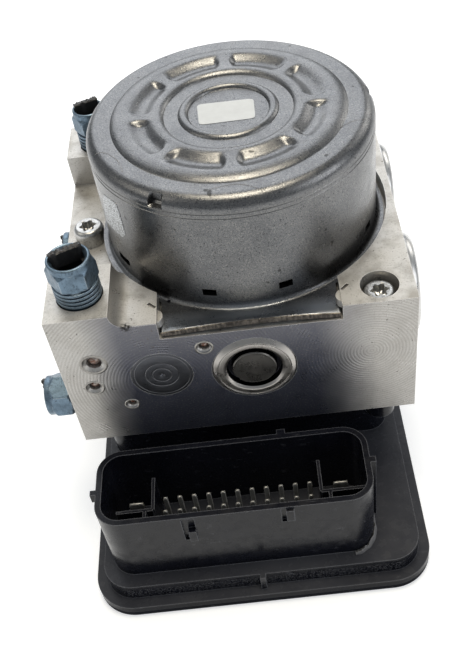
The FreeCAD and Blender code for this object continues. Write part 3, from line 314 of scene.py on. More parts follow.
class Recipe(Tree):
    """A material whose tone is built up in coats."""

    def __init__(self, name: str, tone: Color) -> None:
        """Starts a material with the colour that the coats go on."""
        self.material = bpy.data.materials.new(name)
        self.material.use_nodes = True
        super().__init__(self.material.node_tree)
        self.tree.nodes.clear()
        self.shader = self.node("ShaderNodeBsdfPrincipled")
        self.output = self.node("ShaderNodeOutputMaterial", {"Surface": self.shader.outputs["BSDF"]})
        self.place = self.node("ShaderNodeTexCoord").outputs["Object"]
        self.tone: Color | Socket = tone

    def mapped(self, scale: Point = (1.0, 1.0, 1.0), shift: Point = (0.0, 0.0, 0.0)) -> Socket:
        """Object coordinates, scaled and shifted."""
        return self.node("ShaderNodeMapping", {"Vector": self.place, "Location": shift, "Scale": scale}).outputs[0]

    def axes(self, vector: Socket | None = None) -> tuple[Socket, ...]:
        """The three parts of a vector, or else of the place."""
        return tuple(self.node("ShaderNodeSeparateXYZ", {"Vector": vector or self.place}).outputs)

    def facing(self, normal: str = "Normal") -> Socket:
        """How far a face looks up, from -1 to 1."""
        return self.axes(self.node("ShaderNodeNewGeometry").outputs[normal])[2]

    def noise(self, scale: float, detail: float = 3.0, rough: float = 0.55, at: Socket | None = None) -> Socket:
        """Soft noise; scale counts its cells in a metre."""
        return self.node("ShaderNodeTexNoise", {"Vector": at or self.place, "Scale": scale, "Detail": detail,
                                                "Roughness": rough}).outputs["Fac"]

    def rings(self, axis: str, pitch: float, at: Socket, bend: float, detail: float = 2.0,
              detail_scale: float = 1.0) -> Socket:
        """Rings round an axis, with a pitch in millimetres and a bend by noise."""
        return self.node("ShaderNodeTexWave", {"Vector": at, "Scale": RING_SCALE / (pitch * MM), "Distortion": bend,
                                               "Detail": detail, "Detail Scale": detail_scale},
                         wave_type="RINGS", rings_direction=axis, wave_profile="SIN").outputs["Fac"]

    def span(self, value: Socket, low: float, high: float, to_low: float = 0.0, to_high: float = 1.0) -> Socket:
        """A value stretched from one range to another and held inside it."""
        return self.node("ShaderNodeMapRange", {"Value": value, "From Min": low, "From Max": high, "To Min": to_low,
                                                "To Max": to_high}).outputs["Result"]

    def sheen(self, scale: float, detail: float, low: float, high: float) -> Socket:
        """A roughness that drifts between two values with soft noise."""
        return self.span(self.noise(scale, detail), 0.3, 0.7, low, high)

    def calc(self, operation: str, a: object, b: object = 0.0) -> Socket:
        """One arithmetic step."""
        return self.node("ShaderNodeMath", {0: a, 1: b}, operation=operation).outputs[0]

    def times(self, product: object, *factors: object) -> Socket:
        """The product of its arguments."""
        for factor in factors:
            product = self.calc("MULTIPLY", product, factor)
        return product

    def blend(self, share: object, a: object, b: object) -> Socket:
        """A mix of two colours."""
        a, b = ((*c, 1.0) if isinstance(c, tuple) else c for c in (a, b))
        return self.node("ShaderNodeMix", {"Factor": share, 6: a, 7: b}, data_type="RGBA").outputs[2]

    def coat(self, color: Color | Socket, *shares: object) -> None:
        """Lays a colour over the tone by the product of its shares."""
        self.tone = self.blend(self.times(*shares), self.tone, color)

    def edges(self, radius: float) -> Socket:
        """How near a point is to an edge, from 0 to 1, for a width in millimetres: the mask by which the finishes paint
        highlights along edges.
        """
        bevel = self.node("ShaderNodeBevel", {"Radius": radius * MM}, samples=4).outputs["Normal"]
        flat = self.node("ShaderNodeNewGeometry").outputs["Normal"]
        dot = self.node("ShaderNodeVectorMath", {0: bevel, 1: flat}, operation="DOT_PRODUCT")
        return self.span(dot.outputs["Value"], 0.995, 0.93)

    def crevices(self, reach: float) -> Socket:
        """How deep a point lies in a groove or corner, from 0 to 1, for a reach in millimetres: the mask by which the
        finishes paint shade there.
        """
        nook = self.node("ShaderNodeAmbientOcclusion", {"Distance": reach * MM}, samples=6, only_local=True)
        return self.span(nook.outputs["AO"], 0.80, 0.30)

    def within(self, centre: Point, radius: float, soft: float, along: str = "") -> Socket:
        """Whether a point lies inside a ball, or a rod along one axis, with a soft border, in millimetres."""
        scale = tuple(0.0 if axis == along else 1.0 for axis in "XYZ")
        shift = tuple(-c * MM * s for c, s in zip(centre, scale))
        length = self.node("ShaderNodeVectorMath", {0: self.mapped(scale, shift)}, operation="LENGTH")
        return self.span(length.outputs["Value"], (radius + soft) * MM, radius * MM)

    def relief(self, *layers: tuple[Socket, float]) -> None:
        """Bumps from height layers, each with its depth in millimetres."""
        normal: dict[str, Socket] = {}
        for height, depth in layers:
            inputs = {"Distance": depth * MM, "Strength": 1.0, "Height": height}
            normal = {"Normal": self.node("ShaderNodeBump", inputs | normal).outputs["Normal"]}
        self.feed(self.shader, normal)

    def finish(self, rough: object, metal: float) -> Material:
        """Gives the shader the tone, a roughness and a share of metal, and returns the material."""
        tone = (*self.tone, 1.0) if isinstance(self.tone, tuple) else self.tone
        self.feed(self.shader, {"Base Color": tone, "Roughness": rough, "Metallic": metal})
        return self.material


def shaded(color: Color, share: float) -> Color:
    """A colour times a share, short of white."""
    return tuple(min(c * share, 0.95) for c in color)


@dataclass(frozen=True)
class SatinMetal:
    """Pressed, plated or ground metal with mottled tone and a fine grain."""

    name: str
    color: Color
    stain: Color
    rough: float = 0.36
    grain: float = 2600.0
    mottle: float = 120.0
    # edge, edge_width and edge_share: the colour, width in millimetres and share of a painted highlight along the edges
    edge: Color = (0.62, 0.60, 0.57)
    edge_width: float = 0.25
    edge_share: float = 0.45
    metal: float = 1.0

    def build(self) -> Material:
        """Makes the material."""
        r = Recipe(self.name, self.color)
        r.coat(self.stain, r.span(r.noise(self.mottle, 4.0, 0.6), 0.38, 0.68))
        r.coat(shaded(self.color, 2.2), r.span(r.noise(self.grain, 2.0, 0.7), 0.35, 0.65), 0.25)
        r.coat(shaded(self.color, 0.45), r.span(r.noise(self.grain * 0.4, 2.0), 0.60, 0.70, 0.0, 0.45))
        # Painted highlight: a paler colour along the edges
        r.coat(self.edge, r.edges(self.edge_width), self.edge_share)
        r.relief((r.noise(self.grain, 2.0, 0.6), 0.012), (r.noise(260.0, 3.0), 0.02))
        return r.finish(r.sheen(self.mottle * 2.2, 5.0, self.rough - 0.05, self.rough + 0.09), self.metal)


@dataclass(frozen=True)
class DrawnSteel:
    """The can's grey satin skin: salt-and-pepper grain, faint rings on its end and a sheared tongue edge."""

    name: str = "drawn_steel"
    color: Color = (0.157, 0.159, 0.163)
    dark: Color = (0.088, 0.093, 0.102)
    light: Color = (0.36, 0.35, 0.33)
    nick: Color = (0.03, 0.03, 0.03)
    # sheet: a paler blue-grey painted on the tongue's top, standing for the light that it catches
    sheet: Color = (0.36, 0.385, 0.42)
    dirt: Color = (0.03, 0.03, 0.033)
    dot: Color = (0.012, 0.012, 0.014)
    sheared: Color = (0.120, 0.108, 0.096)
    burnt: Color = (0.032, 0.029, 0.027)
    rough: float = 0.28
    grain: float = 3300.0
    ring_pitch: float = 0.62
    edge_row: float = -0.0428
    dots: tuple[Point, ...] = ((-29.6, -24.8, 74.4), (-20.7, -32.1, 74.4))

    def build(self) -> Material:
        """Makes the material."""
        r = Recipe(self.name, self.color)
        _, y, z = r.axes()
        r.coat(self.dark, r.span(r.noise(75.0, 5.0, 0.62), 0.36, 0.68, 0.0, 0.55))
        r.coat(self.light, r.span(r.noise(self.grain, 2.0, 0.7), 0.50, 0.66, 0.0, 0.42))
        r.coat(shaded(self.dark, 0.35), r.span(r.noise(self.grain * 0.85, 2.0), 0.57, 0.68, 0.0, 0.75))
        r.coat(self.nick, r.span(r.noise(420.0, 1.0), 0.745, 0.77, 0.0, 0.8))
        # Painted highlight along the edges, in the grain's pale colour
        r.coat(self.light, r.edges(0.25), 0.35)
        # Painted light: the tongue's top in front of the can is painted paler, standing for the light that it catches
        r.coat(self.sheet, r.span(y, -0.0360, -0.0395), r.span(z, 0.0762, 0.0758), 0.95)
        # Painted shade in the grooves and corners
        r.coat(self.dirt, r.crevices(1.2), 0.6)
        for spot in self.dots:
            r.coat(self.dot, r.within(spot, 0.42, 0.12))
        streaks = r.noise(1.0, 3.0, 0.7, r.mapped((1500.0, 1500.0, 500.0)))
        torn = r.blend(r.span(streaks, 0.42, 0.60), self.burnt, self.sheared)
        r.coat(torn, r.span(y, self.edge_row, self.edge_row - 0.0002))
        rings = r.rings("Z", self.ring_pitch, r.place, 2.5, detail_scale=40.0)
        r.relief((r.noise(self.grain, 2.0, 0.6), 0.032), (rings, 0.004), (r.noise(230.0, 3.0), 0.02))
        return r.finish(r.sheen(210.0, 5.0, self.rough - 0.05, self.rough + 0.08), 1.0)


@dataclass(frozen=True)
class MilledAlloy:
    """Bright machined alloy: cutter arcs on the front, pale dull tops, stains and dark nicks."""

    name: str = "milled_alloy"
    color: Color = (0.520, 0.507, 0.485)
    stain: Color = (0.33, 0.31, 0.285)
    deck: Color = (0.53, 0.52, 0.50)
    deck_stain: Color = (0.34, 0.325, 0.30)
    # shade: the colour of a painted reflection, a dark blue patch on the front face
    shade: Color = (0.070, 0.077, 0.112)
    fleck: Color = (0.26, 0.25, 0.23)
    nick: Color = (0.12, 0.11, 0.10)
    edge: Color = (0.82, 0.81, 0.79)
    dirt: Color = (0.13, 0.12, 0.11)
    hole: Color = (0.015, 0.014, 0.013)
    rough: float = 0.30
    arc_centers: tuple[Point, ...] = ((-0.025, 0.0, 0.057), (0.030, 0.0, 0.060))
    arc_pitch: float = 0.85
    face: float = 0.0437
    pit: Point = (-30.8, -43.6, 78.3)

    def build(self) -> Material:
        """Makes the material."""
        r = Recipe(self.name, self.color)
        up, (x, y, z) = r.facing("True Normal"), r.axes()
        front = r.span(r.calc("ABSOLUTE", y), self.face - 0.0003, self.face - 0.0001)
        top = r.span(up, 0.75, 0.95)
        arcs = self.cutter_arcs(r, x)
        lines = r.noise(1.0, 2.0, at=r.mapped((300.0, 5200.0, 3000.0)))
        sides = r.noise(1.0, 2.0, at=r.mapped((3000.0, 2600.0, 240.0)))
        straight = r.blend(r.span(r.calc("ABSOLUTE", up), 0.6, 0.8), sides, lines)
        r.coat(self.stain, r.span(r.noise(130.0, 6.0, 0.68), 0.46, 0.66, 0.0, 0.4))
        r.coat(r.blend(r.span(r.noise(160.0, 5.0, 0.6), 0.44, 0.66), self.deck, self.deck_stain), top)
        r.coat(self.stain, arcs, front, r.span(r.noise(60.0, 2.0), 0.35, 0.6, 0.25, 0.60))
        # Painted reflection: a dark blue patch over the middle of the front face, fuller low down, where the face
        # mirrors the black moulding in front of it
        drift = r.calc("ADD", x, r.times(r.noise(70.0, 3.0), 0.006))
        reflection_patch = r.times(r.span(drift, -0.0400, -0.0300), r.span(drift, 0.0345, 0.0185))
        r.coat(self.shade, reflection_patch, r.span(z, 0.081, 0.056, 0.74, 0.96), r.span(y, 0.0, -0.02), front)
        r.coat(self.fleck, r.span(r.noise(2400.0, 2.0, 0.6), 0.56, 0.68, 0.0, 0.6))
        r.coat(self.nick, r.span(r.noise(900.0, 1.0), 0.755, 0.775, 0.0, 0.8))
        # Painted highlight along the edges
        r.coat(self.edge, r.edges(0.3), 0.6)
        # Painted shade in the grooves and corners
        r.coat(self.dirt, r.crevices(2.0), 0.5)
        # Painted shade: a near-black ragged spot stands for the inside of a pit that is not modelled
        r.coat(self.hole, r.span(r.noise(1500.0, 2.0), 0.35, 0.60), r.within(self.pit, 0.9, 0.9))
        r.relief((r.blend(front, straight, arcs), 0.022), (r.noise(1300.0, 3.0), 0.010))
        satin = r.sheen(190.0, 4.0, self.rough - 0.05, self.rough + 0.10)
        return r.finish(r.calc("ADD", satin, r.times(top, 0.16)), 0.72)

    def cutter_arcs(self, r: Recipe, across: Socket) -> Socket:
        """The rings that a face mill leaves, round each of its centres."""
        left, right = (r.rings("Y", self.arc_pitch, r.mapped(shift=(-x, -y, -z)), 0.8, 1.0, 60.0)
                       for x, y, z in self.arc_centers)
        return r.blend(r.span(across, 0.004, 0.012), left, right)


@dataclass(frozen=True)
class MouldedPlastic:
    """Glass-filled moulding: near-black, with a fine skin, rubs, painted shade in its crevices, dust and painted light
    on its low upward faces, painted highlights along its edges and an optional stippled band with painted highlights on
    its pips.
    """

    name: str
    color: Color = (0.0044, 0.0049, 0.0080)
    rub: Color = (0.155, 0.160, 0.178)
    rough: float = 0.22
    ior: float = 1.31
    stipple: bool = False
    dust: Color = (0.046, 0.048, 0.056)
    # dark: the colour of painted shade in grooves and corners
    dark: Color = (0.002, 0.002, 0.003)

    def build(self) -> Material:
        """Makes the material."""
        r = Recipe(self.name, self.color)
        z = r.axes()[2]
        r.coat(shaded(self.color, 1.9), r.span(r.noise(55.0, 5.0, 0.6), 0.35, 0.75))
        r.coat(self.rub, r.span(r.noise(1.0, 4.0, 0.7, r.mapped((260.0, 900.0, 420.0))), 0.62, 0.78, 0.0, 0.45))
        # Painted shade in the grooves and corners
        r.coat(self.dark, r.crevices(1.5), 0.7)
        # Paler patchy tone on the low faces that look up: dust, and painted light that these faces catch
        patchy = r.span(r.noise(45.0, 4.0), 0.3, 0.7, 0.5, 1.0)
        r.coat(self.dust, r.span(r.facing(), 0.6, 0.95), patchy, r.span(z, 0.020, 0.012))
        # Painted highlight along the edges, weaker low on the front of the rims
        r.coat(self.rub, r.edges(0.34), r.span(z, 0.0036, 0.0046, 0.16, 0.85))
        layers = [(r.noise(1500.0, 3.0, 0.6), 0.010), (r.noise(90.0, 3.0), 0.05)]
        if self.stipple:
            pips = self.stippled(r)
            layers.append((pips, 0.14))
            # Painted highlight on the pips
            r.coat(self.rub, pips, 0.45)
        r.relief(*layers)
        r.feed(r.shader, {"IOR": self.ior, "Specular IOR Level": r.span(z, 0.0036, 0.0044, 0.12, 0.5)})
        return r.finish(r.sheen(320.0, 5.0, self.rough - 0.06, self.rough + 0.12), 0.0)

    def stippled(self, r: Recipe) -> Socket:
        """Small pips low on the shelf's front drop."""
        _, y, z = r.axes()
        pips = r.node("ShaderNodeTexVoronoi", {"Vector": r.place, "Scale": 2100.0}, feature="F1")
        band = r.times(r.span(y, -0.0755, -0.0763, 0.0, 0.8), r.span(z, 0.0085, 0.0078), r.span(z, 0.0042, 0.0046))
        return r.times(r.span(pips.outputs["Distance"], 0.15, 0.55, 1.0, 0.0), band)


@dataclass(frozen=True)
class BlueZinc:
    """Pale blue zinc plating on the line nuts, flecked and streaked with dirt, with painted highlights along its edges
    and painted shade in its grooves.
    """

    name: str = "blue_zinc"
    color: Color = (0.165, 0.235, 0.305)
    dirt: Color = (0.030, 0.040, 0.055)
    edge: Color = (0.46, 0.53, 0.58)

    def build(self) -> Material:
        """Makes the material."""
        r = Recipe(self.name, self.color)
        r.coat(shaded(self.color, 0.62), r.span(r.noise(330.0, 5.0, 0.65), 0.42, 0.66))
        r.coat(self.dirt, r.span(r.noise(1300.0, 2.0), 0.60, 0.70, 0.0, 0.6))
        r.coat(self.dirt, r.span(r.noise(1.0, 4.0, 0.7, r.mapped((1900.0, 1900.0, 380.0))), 0.52, 0.72, 0.0, 0.55))
        # Painted highlight along the edges
        r.coat(self.edge, r.edges(0.35), 0.8)
        # Painted shade in the thread grooves and corners
        r.coat(self.dirt, r.crevices(0.9), 0.9)
        r.relief((r.noise(1500.0, 3.0), 0.03), (r.noise(300.0, 3.0), 0.06))
        return r.finish(r.sheen(600.0, 4.0, 0.30, 0.50), 0.85)


@dataclass(frozen=True)
class TurnedSteel:
    """Bright steel turned on a lathe, with rings round one axis."""

    name: str
    centre: Point
    rings: str = "Y"
    color: Color = (0.62, 0.60, 0.58)
    stain: Color = (0.40, 0.37, 0.34)
    rough: float = 0.28
    pitch: float = 0.32
    depth: float = 0.008
    groove: float = 0.0
    disc: float = 0.0
    edge: Color = (0.80, 0.78, 0.75)
    groove_color: Color = (0.030, 0.030, 0.036)
    disc_color: Color = (0.142, 0.137, 0.130)

    def build(self) -> Material:
        """Makes the material."""
        r = Recipe(self.name, self.color)
        rings = r.rings(self.rings, self.pitch, r.mapped(shift=tuple(-c * MM for c in self.centre)), 0.6)
        r.coat(self.stain, r.span(r.noise(240.0, 4.0), 0.42, 0.70))
        # Painted highlight along the edges
        r.coat(self.edge, r.edges(0.2), 0.6)
        if self.disc:
            # Painted shade: the deep groove round the disc is painted near-black
            r.coat(self.groove_color, r.within(self.centre, self.groove, 0.05, self.rings))
            r.coat(self.disc_color, r.within(self.centre, self.disc, 0.05, self.rings))
        r.relief((rings, self.depth), (r.noise(900.0, 2.0), 0.003))
        return r.finish(r.sheen(420.0, 4.0, self.rough - 0.03, self.rough + 0.05), 1.0)


@dataclass(frozen=True)
class RustySteel:
    """Bare steel with brown rust, as on the pressed balls."""

    name: str = "rusty_steel"
    color: Color = (0.34, 0.30, 0.27)
    rust: Color = (0.16, 0.06, 0.035)

    def build(self) -> Material:
        """Makes the material."""
        r = Recipe(self.name, self.color)
        cover = r.noise(750.0, 4.0, 0.6)
        r.coat(self.rust, r.span(cover, 0.40, 0.58))
        r.relief((r.noise(1400.0, 3.0), 0.02))
        return r.finish(r.span(cover, 0.40, 0.60, 0.30, 0.62), 0.8)


@dataclass(frozen=True)
class PipeCoat:
    """Black polymer pipe coating with a rough torn end."""

    name: str = "pipe_coat"
    color: Color = (0.012, 0.012, 0.013)
    torn: Color = (0.19, 0.155, 0.130)

    def build(self) -> Material:
        """Makes the material."""
        r = Recipe(self.name, self.color)
        # Brown flecks: the torn coating's own colour, and painted light, as they are laid far more on faces that look
        # up
        r.coat(self.torn, r.span(r.noise(1700.0, 3.0, 0.7), 0.56, 0.72), r.span(r.facing(), 0.35, 0.75, 0.15, 0.95))
        r.relief((r.noise(900.0, 4.0, 0.7), 0.10))
        return r.finish(r.sheen(500.0, 4.0, 0.38, 0.62), 0.0)


@dataclass(frozen=True)
class PlainLabel:
    """A blank printed label, white or foil, with a faint wrinkle and worn rim."""

    name: str
    color: Color
    metal: float = 0.0
    rough: float = 0.45
    emboss: float = 0.0
    dent: Color = (0.09, 0.09, 0.09)

    def build(self) -> Material:
        """Makes the material."""
        r = Recipe(self.name, self.color)
        r.coat(shaded(self.color, 0.90), r.span(r.noise(420.0, 4.0), 0.35, 0.75))
        cells = r.node("ShaderNodeTexVoronoi", {"Vector": r.place, "Scale": 1500.0}, feature="DISTANCE_TO_EDGE")
        pits = r.span(cells.outputs["Distance"], 0.02, 0.12)
        # Painted shade in the embossed dents
        r.coat(self.dent, r.calc("SUBTRACT", 1.0, pits), self.emboss)
        r.relief((pits, 0.03 * self.emboss), (r.noise(160.0, 3.0), 0.03))
        return r.finish(self.rough, self.metal)


class Rule(Tree):
    """A Geometry Nodes tree with named inputs that ends in real geometry with one material."""

    def __init__(self, name: str, **inputs: str) -> None:
        """Starts a tree that takes a geometry and the named inputs, each with its kind."""
        super().__init__(bpy.data.node_groups.new(name, "GeometryNodeTree"))
        face = self.tree.interface
        face.new_socket("Geometry", in_out="OUTPUT", socket_type="NodeSocketGeometry")
        self.sockets = {key: face.new_socket(key, in_out="INPUT", socket_type="NodeSocket" + kind).identifier
                        for key, kind in {"Geometry": "Geometry", **inputs}.items()}
        self.given = self.tree.nodes.new("NodeGroupInput").outputs

    def close(self, instances: bpy.types.Node) -> "Rule":
        """Ends the tree: instances become real and take the Finish input's material."""
        real = self.node("GeometryNodeRealizeInstances", {"Geometry": instances.outputs[0]})
        dressed = self.node("GeometryNodeSetMaterial", {"Geometry": real.outputs[0], "Material": self.given["Finish"]})
        self.node("NodeGroupOutput", {"Geometry": dressed.outputs[0]})
        return self

    def run(self, mesh: Mesh, **values: object) -> Mesh:
        """Runs the tree on a mesh with its named inputs, and returns a plain mesh with the result."""
        inputs = {self.sockets[name]: value for name, value in values.items()}
        return evaluated_copy(mesh, "NODES", node_group=self.tree, **inputs)


def grid_rule() -> Rule:
    """A tree that repeats a geometry in a grid with a count and a pitch each way."""
    rule = Rule("pin_grid", Columns="Int", Rows="Int", Width="Float", Depth="Float", Middle="Vector", Finish="Material")
    given = rule.given
    grid = rule.node("GeometryNodeMeshGrid", {"Size X": given["Width"], "Size Y": given["Depth"],
                                              "Vertices X": given["Columns"], "Vertices Y": given["Rows"]})
    moved = rule.node("GeometryNodeTransform", {"Geometry": grid.outputs["Mesh"], "Translation": given["Middle"]})
    return rule.close(rule.node("GeometryNodeInstanceOnPoints", {"Points": moved.outputs[0],
                                                                 "Instance": given["Geometry"]}))


def places_rule() -> Rule:
    """A tree that puts a copy of the Part input on each point, turned and sized by the point."""
    rule = Rule("parts_on_points", Part="Object", Finish="Material")
    part = rule.node("GeometryNodeObjectInfo", {"Object": rule.given["Part"]})
    turn, size = (rule.node("GeometryNodeInputNamedAttribute", {"Name": name}, data_type="FLOAT_VECTOR").outputs[0]
                  for name in ("turn", "size"))
    return rule.close(rule.node("GeometryNodeInstanceOnPoints", {
        "Points": rule.given["Geometry"], "Instance": part.outputs["Geometry"], "Rotation": turn, "Scale": size}))


@dataclass(frozen=True)
class Spot:
    """A place for one copy: its point in millimetres, its axis, its turn about that axis and its size."""

    at: Point
    axis: Axis = Axis.UP
    spin: float = 0.0
    size: Point = (1.0, 1.0, 1.0)


def repeated(shape: Shape, spots: Sequence[Spot], finish: Material, rule: Rule) -> Mesh:
    """Puts copies of a shape on spots with the rule that places parts on points.

    Args:
        shape: The shape, stood along +Z.
        spots: Where the copies go.
        finish: Their material.
        rule: The tree from places_rule.

    Returns:
        One plain mesh with all the copies.
    """
    points = bpy.data.meshes.new("spots")
    points.from_pydata([[c * MM for c in spot.at] for spot in spots], [], [])
    turns = points.attributes.new("turn", "FLOAT_VECTOR", "POINT")
    sizes = points.attributes.new("size", "FLOAT_VECTOR", "POINT")
    for i, spot in enumerate(spots):
        turn = spot.axis.value @ Matrix.Rotation(math.radians(spot.spin), 4, "Z")
        turns.data[i].vector = turn.to_euler()
        sizes.data[i].vector = spot.size
    part = bpy.data.objects.new("part_to_copy", make_mesh("part_to_copy", shape))
    bpy.context.scene.collection.objects.link(part)
    result = rule.run(points, Part=part, Finish=finish)
    bpy.data.objects.remove(part)
    return result


@dataclass
class MotorCan:
    """The drawn motor can with its crown relief, rolled rim, windows, flange and front tongue."""

    seat: float = 72.75
    top: float = 108.05
    radius: float = 37.15
    bore: float = 35.65
    rim: float = 3.4
    flange: float = 39.3
    sheet: float = 1.7
    foot: float = 1.3
    tongue: Point = (-22.7, 22.3, -43.2)
    bow: float = 1.1
    outer_bead: Point = (23.9, 26.9, 30.4)
    inner_bead: Point = (16.6, 18.6, 21.5)
    boss_bead: Point = (10.3, 11.6, 13.0)
    bead_height: float = 1.0
    boss_height: float = 0.8
    boss_sink: float = 0.2
    pocket_sink: float = 0.40
    bridges: int = 8
    bridge: Pair = (1.2, 3.3)
    windows: tuple[float, ...] = (-150.0, -147.1875, -105.0, -75.0, -28.125, 150.0, 105.0, 75.0, 28.125)
    window_low: float = 78.4
    window_high: float = 80.5
    notches: tuple[float, ...] = (-121.0, 5.0, 119.0)
    notch_half: float = 1.65
    notch_depth: float = 2.0
    segments: int = 384
    seams: tuple[Pair, ...] = ((104.4, 0.0), (104.25, 0.12), (104.1, 0.12), (103.95, 0.0), (103.2, 0.0), (103.05, 0.14),
                               (102.85, 0.14), (102.7, 0.0))

    def bead(self, r: float, feet: Point, height: float) -> float:
        """The height of a rounded ring at a radius."""
        inner, crest, outer = feet
        reach = (outer - crest) if r > crest else (crest - inner)
        return height * (1.0 - min(abs(r - crest) / reach, 1.0) ** 2.0) ** 0.8

    def crown(self, r: float, angle: float) -> float:
        """The crown's height over its flat ring at a radius and angle."""
        low, high = self.inner_bead[1], self.outer_bead[1]
        if low < r < high:
            across = (r - low) / (high - low)
            valley = self.bead_height - (self.bead_height + self.pocket_sink) * math.sin(math.pi * across) ** 2
            step = 2 * math.pi / self.bridges
            off = abs((angle + math.pi / 2 + step / 2) % step - step / 2) * r
            middle = abs(2 * across - 1.0)
            level = self.bead_height * (0.78 + 0.22 * middle * middle)
            share = 1.0 - smooth(*self.bridge, off + 0.35 * (1.0 - middle))
            return valley + max(level - valley, 0.0) * share
        height = max(self.bead(r, self.outer_bead, self.bead_height), self.bead(r, self.inner_bead, self.bead_height),
                     self.bead(r, self.boss_bead, self.boss_height))
        return height - self.boss_sink * (1.0 - smooth(self.boss_bead[0] - 0.25, self.boss_bead[0] + 0.25, r))

    def surface(self, x: float, y: float) -> float:
        """The can's outer height at a point seen from above."""
        r, angle = math.hypot(x, y), math.atan2(y, x)
        shoulder = self.radius - self.rim
        if r <= shoulder:
            return self.top + self.crown(r, angle)
        return self.top - self.rim + math.sqrt(max(self.rim ** 2 - (r - shoulder) ** 2, 0.0))

    def angles(self) -> list[float]:
        """The angles round the can, with the tongue's corners met exactly."""
        left, right, front = self.tongue
        special = [math.atan2(y, x) for x in (left, right) for y in (front, -math.sqrt(self.flange ** 2 - x ** 2))]
        step = 2 * math.pi / self.segments
        steps = [k * step for k in range(self.segments)]
        for angle in special:
            steps[round(angle / step) % self.segments] = angle % (2 * math.pi)
        return steps

    def flange_edge(self, angle: float) -> float:
        """The flange's outer radius at an angle, out to the tongue's edges in front."""
        left, right, front = self.tongue
        c, s = math.cos(angle), math.sin(angle)
        if s > -0.5:
            return self.flange
        side = right / c if c > 1e-6 else left / c if c < -1e-6 else math.inf
        return max(self.flange, min(front / s, side))

    def stations(self) -> list[tuple[float, float, str]]:
        """The rings of points from the crown's middle over the wall to the bore's end."""
        flank = (0.0, 0.15, 0.3, 0.5, 0.7, 0.86, 0.96, 1.0)
        disc = self.boss_bead[0]
        radii = [0.0, 3.0, 6.0, 8.5, 9.6, disc - 0.25, disc]
        for feet in (self.boss_bead, self.inner_bead):
            radii += [feet[1] + (feet[0] - feet[1]) * u for u in reversed(flank)]
            if feet is self.boss_bead:
                radii += [feet[1] + (feet[2] - feet[1]) * u for u in flank[1:]] + [14.2, 15.6]
        low, high = self.inner_bead[1], self.outer_bead[1]
        radii += [low + (high - low) * k / 30 for k in range(1, 30)]
        radii += [high + (self.outer_bead[2] - high) * u for u in flank] + [30.8, 31.8, 32.8]
        line = [(r, self.top, "crown") for r in sorted(set(radii))]
        for k in range(13):
            a = math.radians(7.5 * k)
            line.append((self.radius - self.rim * (1 - math.sin(a)), self.top - self.rim * (1 - math.cos(a)), "round"))
        line += [(self.radius - depth, z, "round") for z, depth in self.seams]
        foot_top = self.seat + self.sheet + self.foot
        line += [(self.radius, z, "round") for z in (98.0, 93.0, 88.0, 84.0, self.window_high, self.window_low, 77.3,
                                                     77.1, foot_top)]
        for k in range(1, 9):
            a = math.radians(11.25 * k)
            line.append((self.radius + self.foot * (1 - math.cos(a)), foot_top - self.foot * math.sin(a), "round"))
        upper, lower = self.seat + self.sheet, self.seat + 0.02
        line += [(t, upper, "flange") for t in (0.2, 0.4, 0.6, 0.8, 0.94)]
        line += [(1.0, upper - 0.2, "flange"), (1.0, lower + 0.15, "flange"), (0.94, lower, "flange"),
                 (0.5, lower, "flange"), (0.0, lower, "flange")]
        inside = self.top - self.boss_sink - (self.radius - self.bore)
        line += [(self.bore, z, "round") for z in (lower, self.window_low, self.window_high, self.top - self.rim)]
        return line + [(self.bore - 0.6 * self.rim, inside, "round"), (0.0, inside, "round")]

    def point(self, station: tuple[float, float, str], angle: float) -> Point:
        """The point of a ring at an angle."""
        r, z, kind = station
        crease = self.radius + self.foot
        if kind == "crown":
            z += self.crown(r, angle)
        elif kind == "flange":
            r = crease + (self.flange_edge(angle) - crease) * r
        elif z > self.top - self.rim - 0.01 and r > self.bore:
            off = min(abs((angle - math.radians(a) + math.pi) % (2 * math.pi) - math.pi) for a in self.notches)
            if off * self.radius < self.notch_half:
                r = min(r, self.radius - self.notch_depth)
        x, y, _ = round_point(r, z, angle)
        if kind == "flange" and y < -crease:
            left, right, front = self.tongue
            across = (2 * x - left - right) / (right - left)
            z += self.bow * max(1.0 - across * across, 0.0) * smooth(-crease, front, y)
        return x, y, z

    def shell(self) -> Shape:
        """The can's whole skin, open only at its windows."""
        line, angles = self.stations(), self.angles()
        shape = Shape()
        rows = [shape.lay([self.point(station, angle) for angle in
                           (angles[:1] if station[0] < TINY and station[2] != "flange" else angles)])
                for station in line]
        opening = self.window_cells()
        outer = next(i for i, s in enumerate(line) if s[:2] == (self.radius, self.window_high))
        inner = next(i for i, s in enumerate(line) if s[:2] == (self.bore, self.window_low))
        for i, (low, high) in enumerate(zip(rows, rows[1:])):
            shape.join(low, high, opening if i in (outer, inner) else ())
        top_out, low_out, low_in, top_in = rows[outer], rows[outer + 1], rows[inner], rows[inner + 1]
        for k in opening:
            n = (k + 1) % self.segments
            shape.faces += [(top_out[k], top_out[n], top_in[n], top_in[k]),
                            (low_out[k], low_in[k], low_in[n], low_out[n])]
            shape.faces += [(top_out[edge], low_out[edge], low_in[edge], top_in[edge])
                            for edge, other in ((k, k - 1), (n, n)) if other % self.segments not in opening]
        return shape

    def window_cells(self) -> set[int]:
        """The steps round the can that lie in a window."""
        step = 360.0 / self.segments
        return {(round(a / step) + k) % self.segments for a in self.windows for k in range(-3, 3)}

    def build(self, steel: Material) -> None:
        """Makes the can and puts it in the scene."""
        place_piece("drawn_can", self.shell(), steel, "can_steel", ["motor_can"], sharp=28.0)


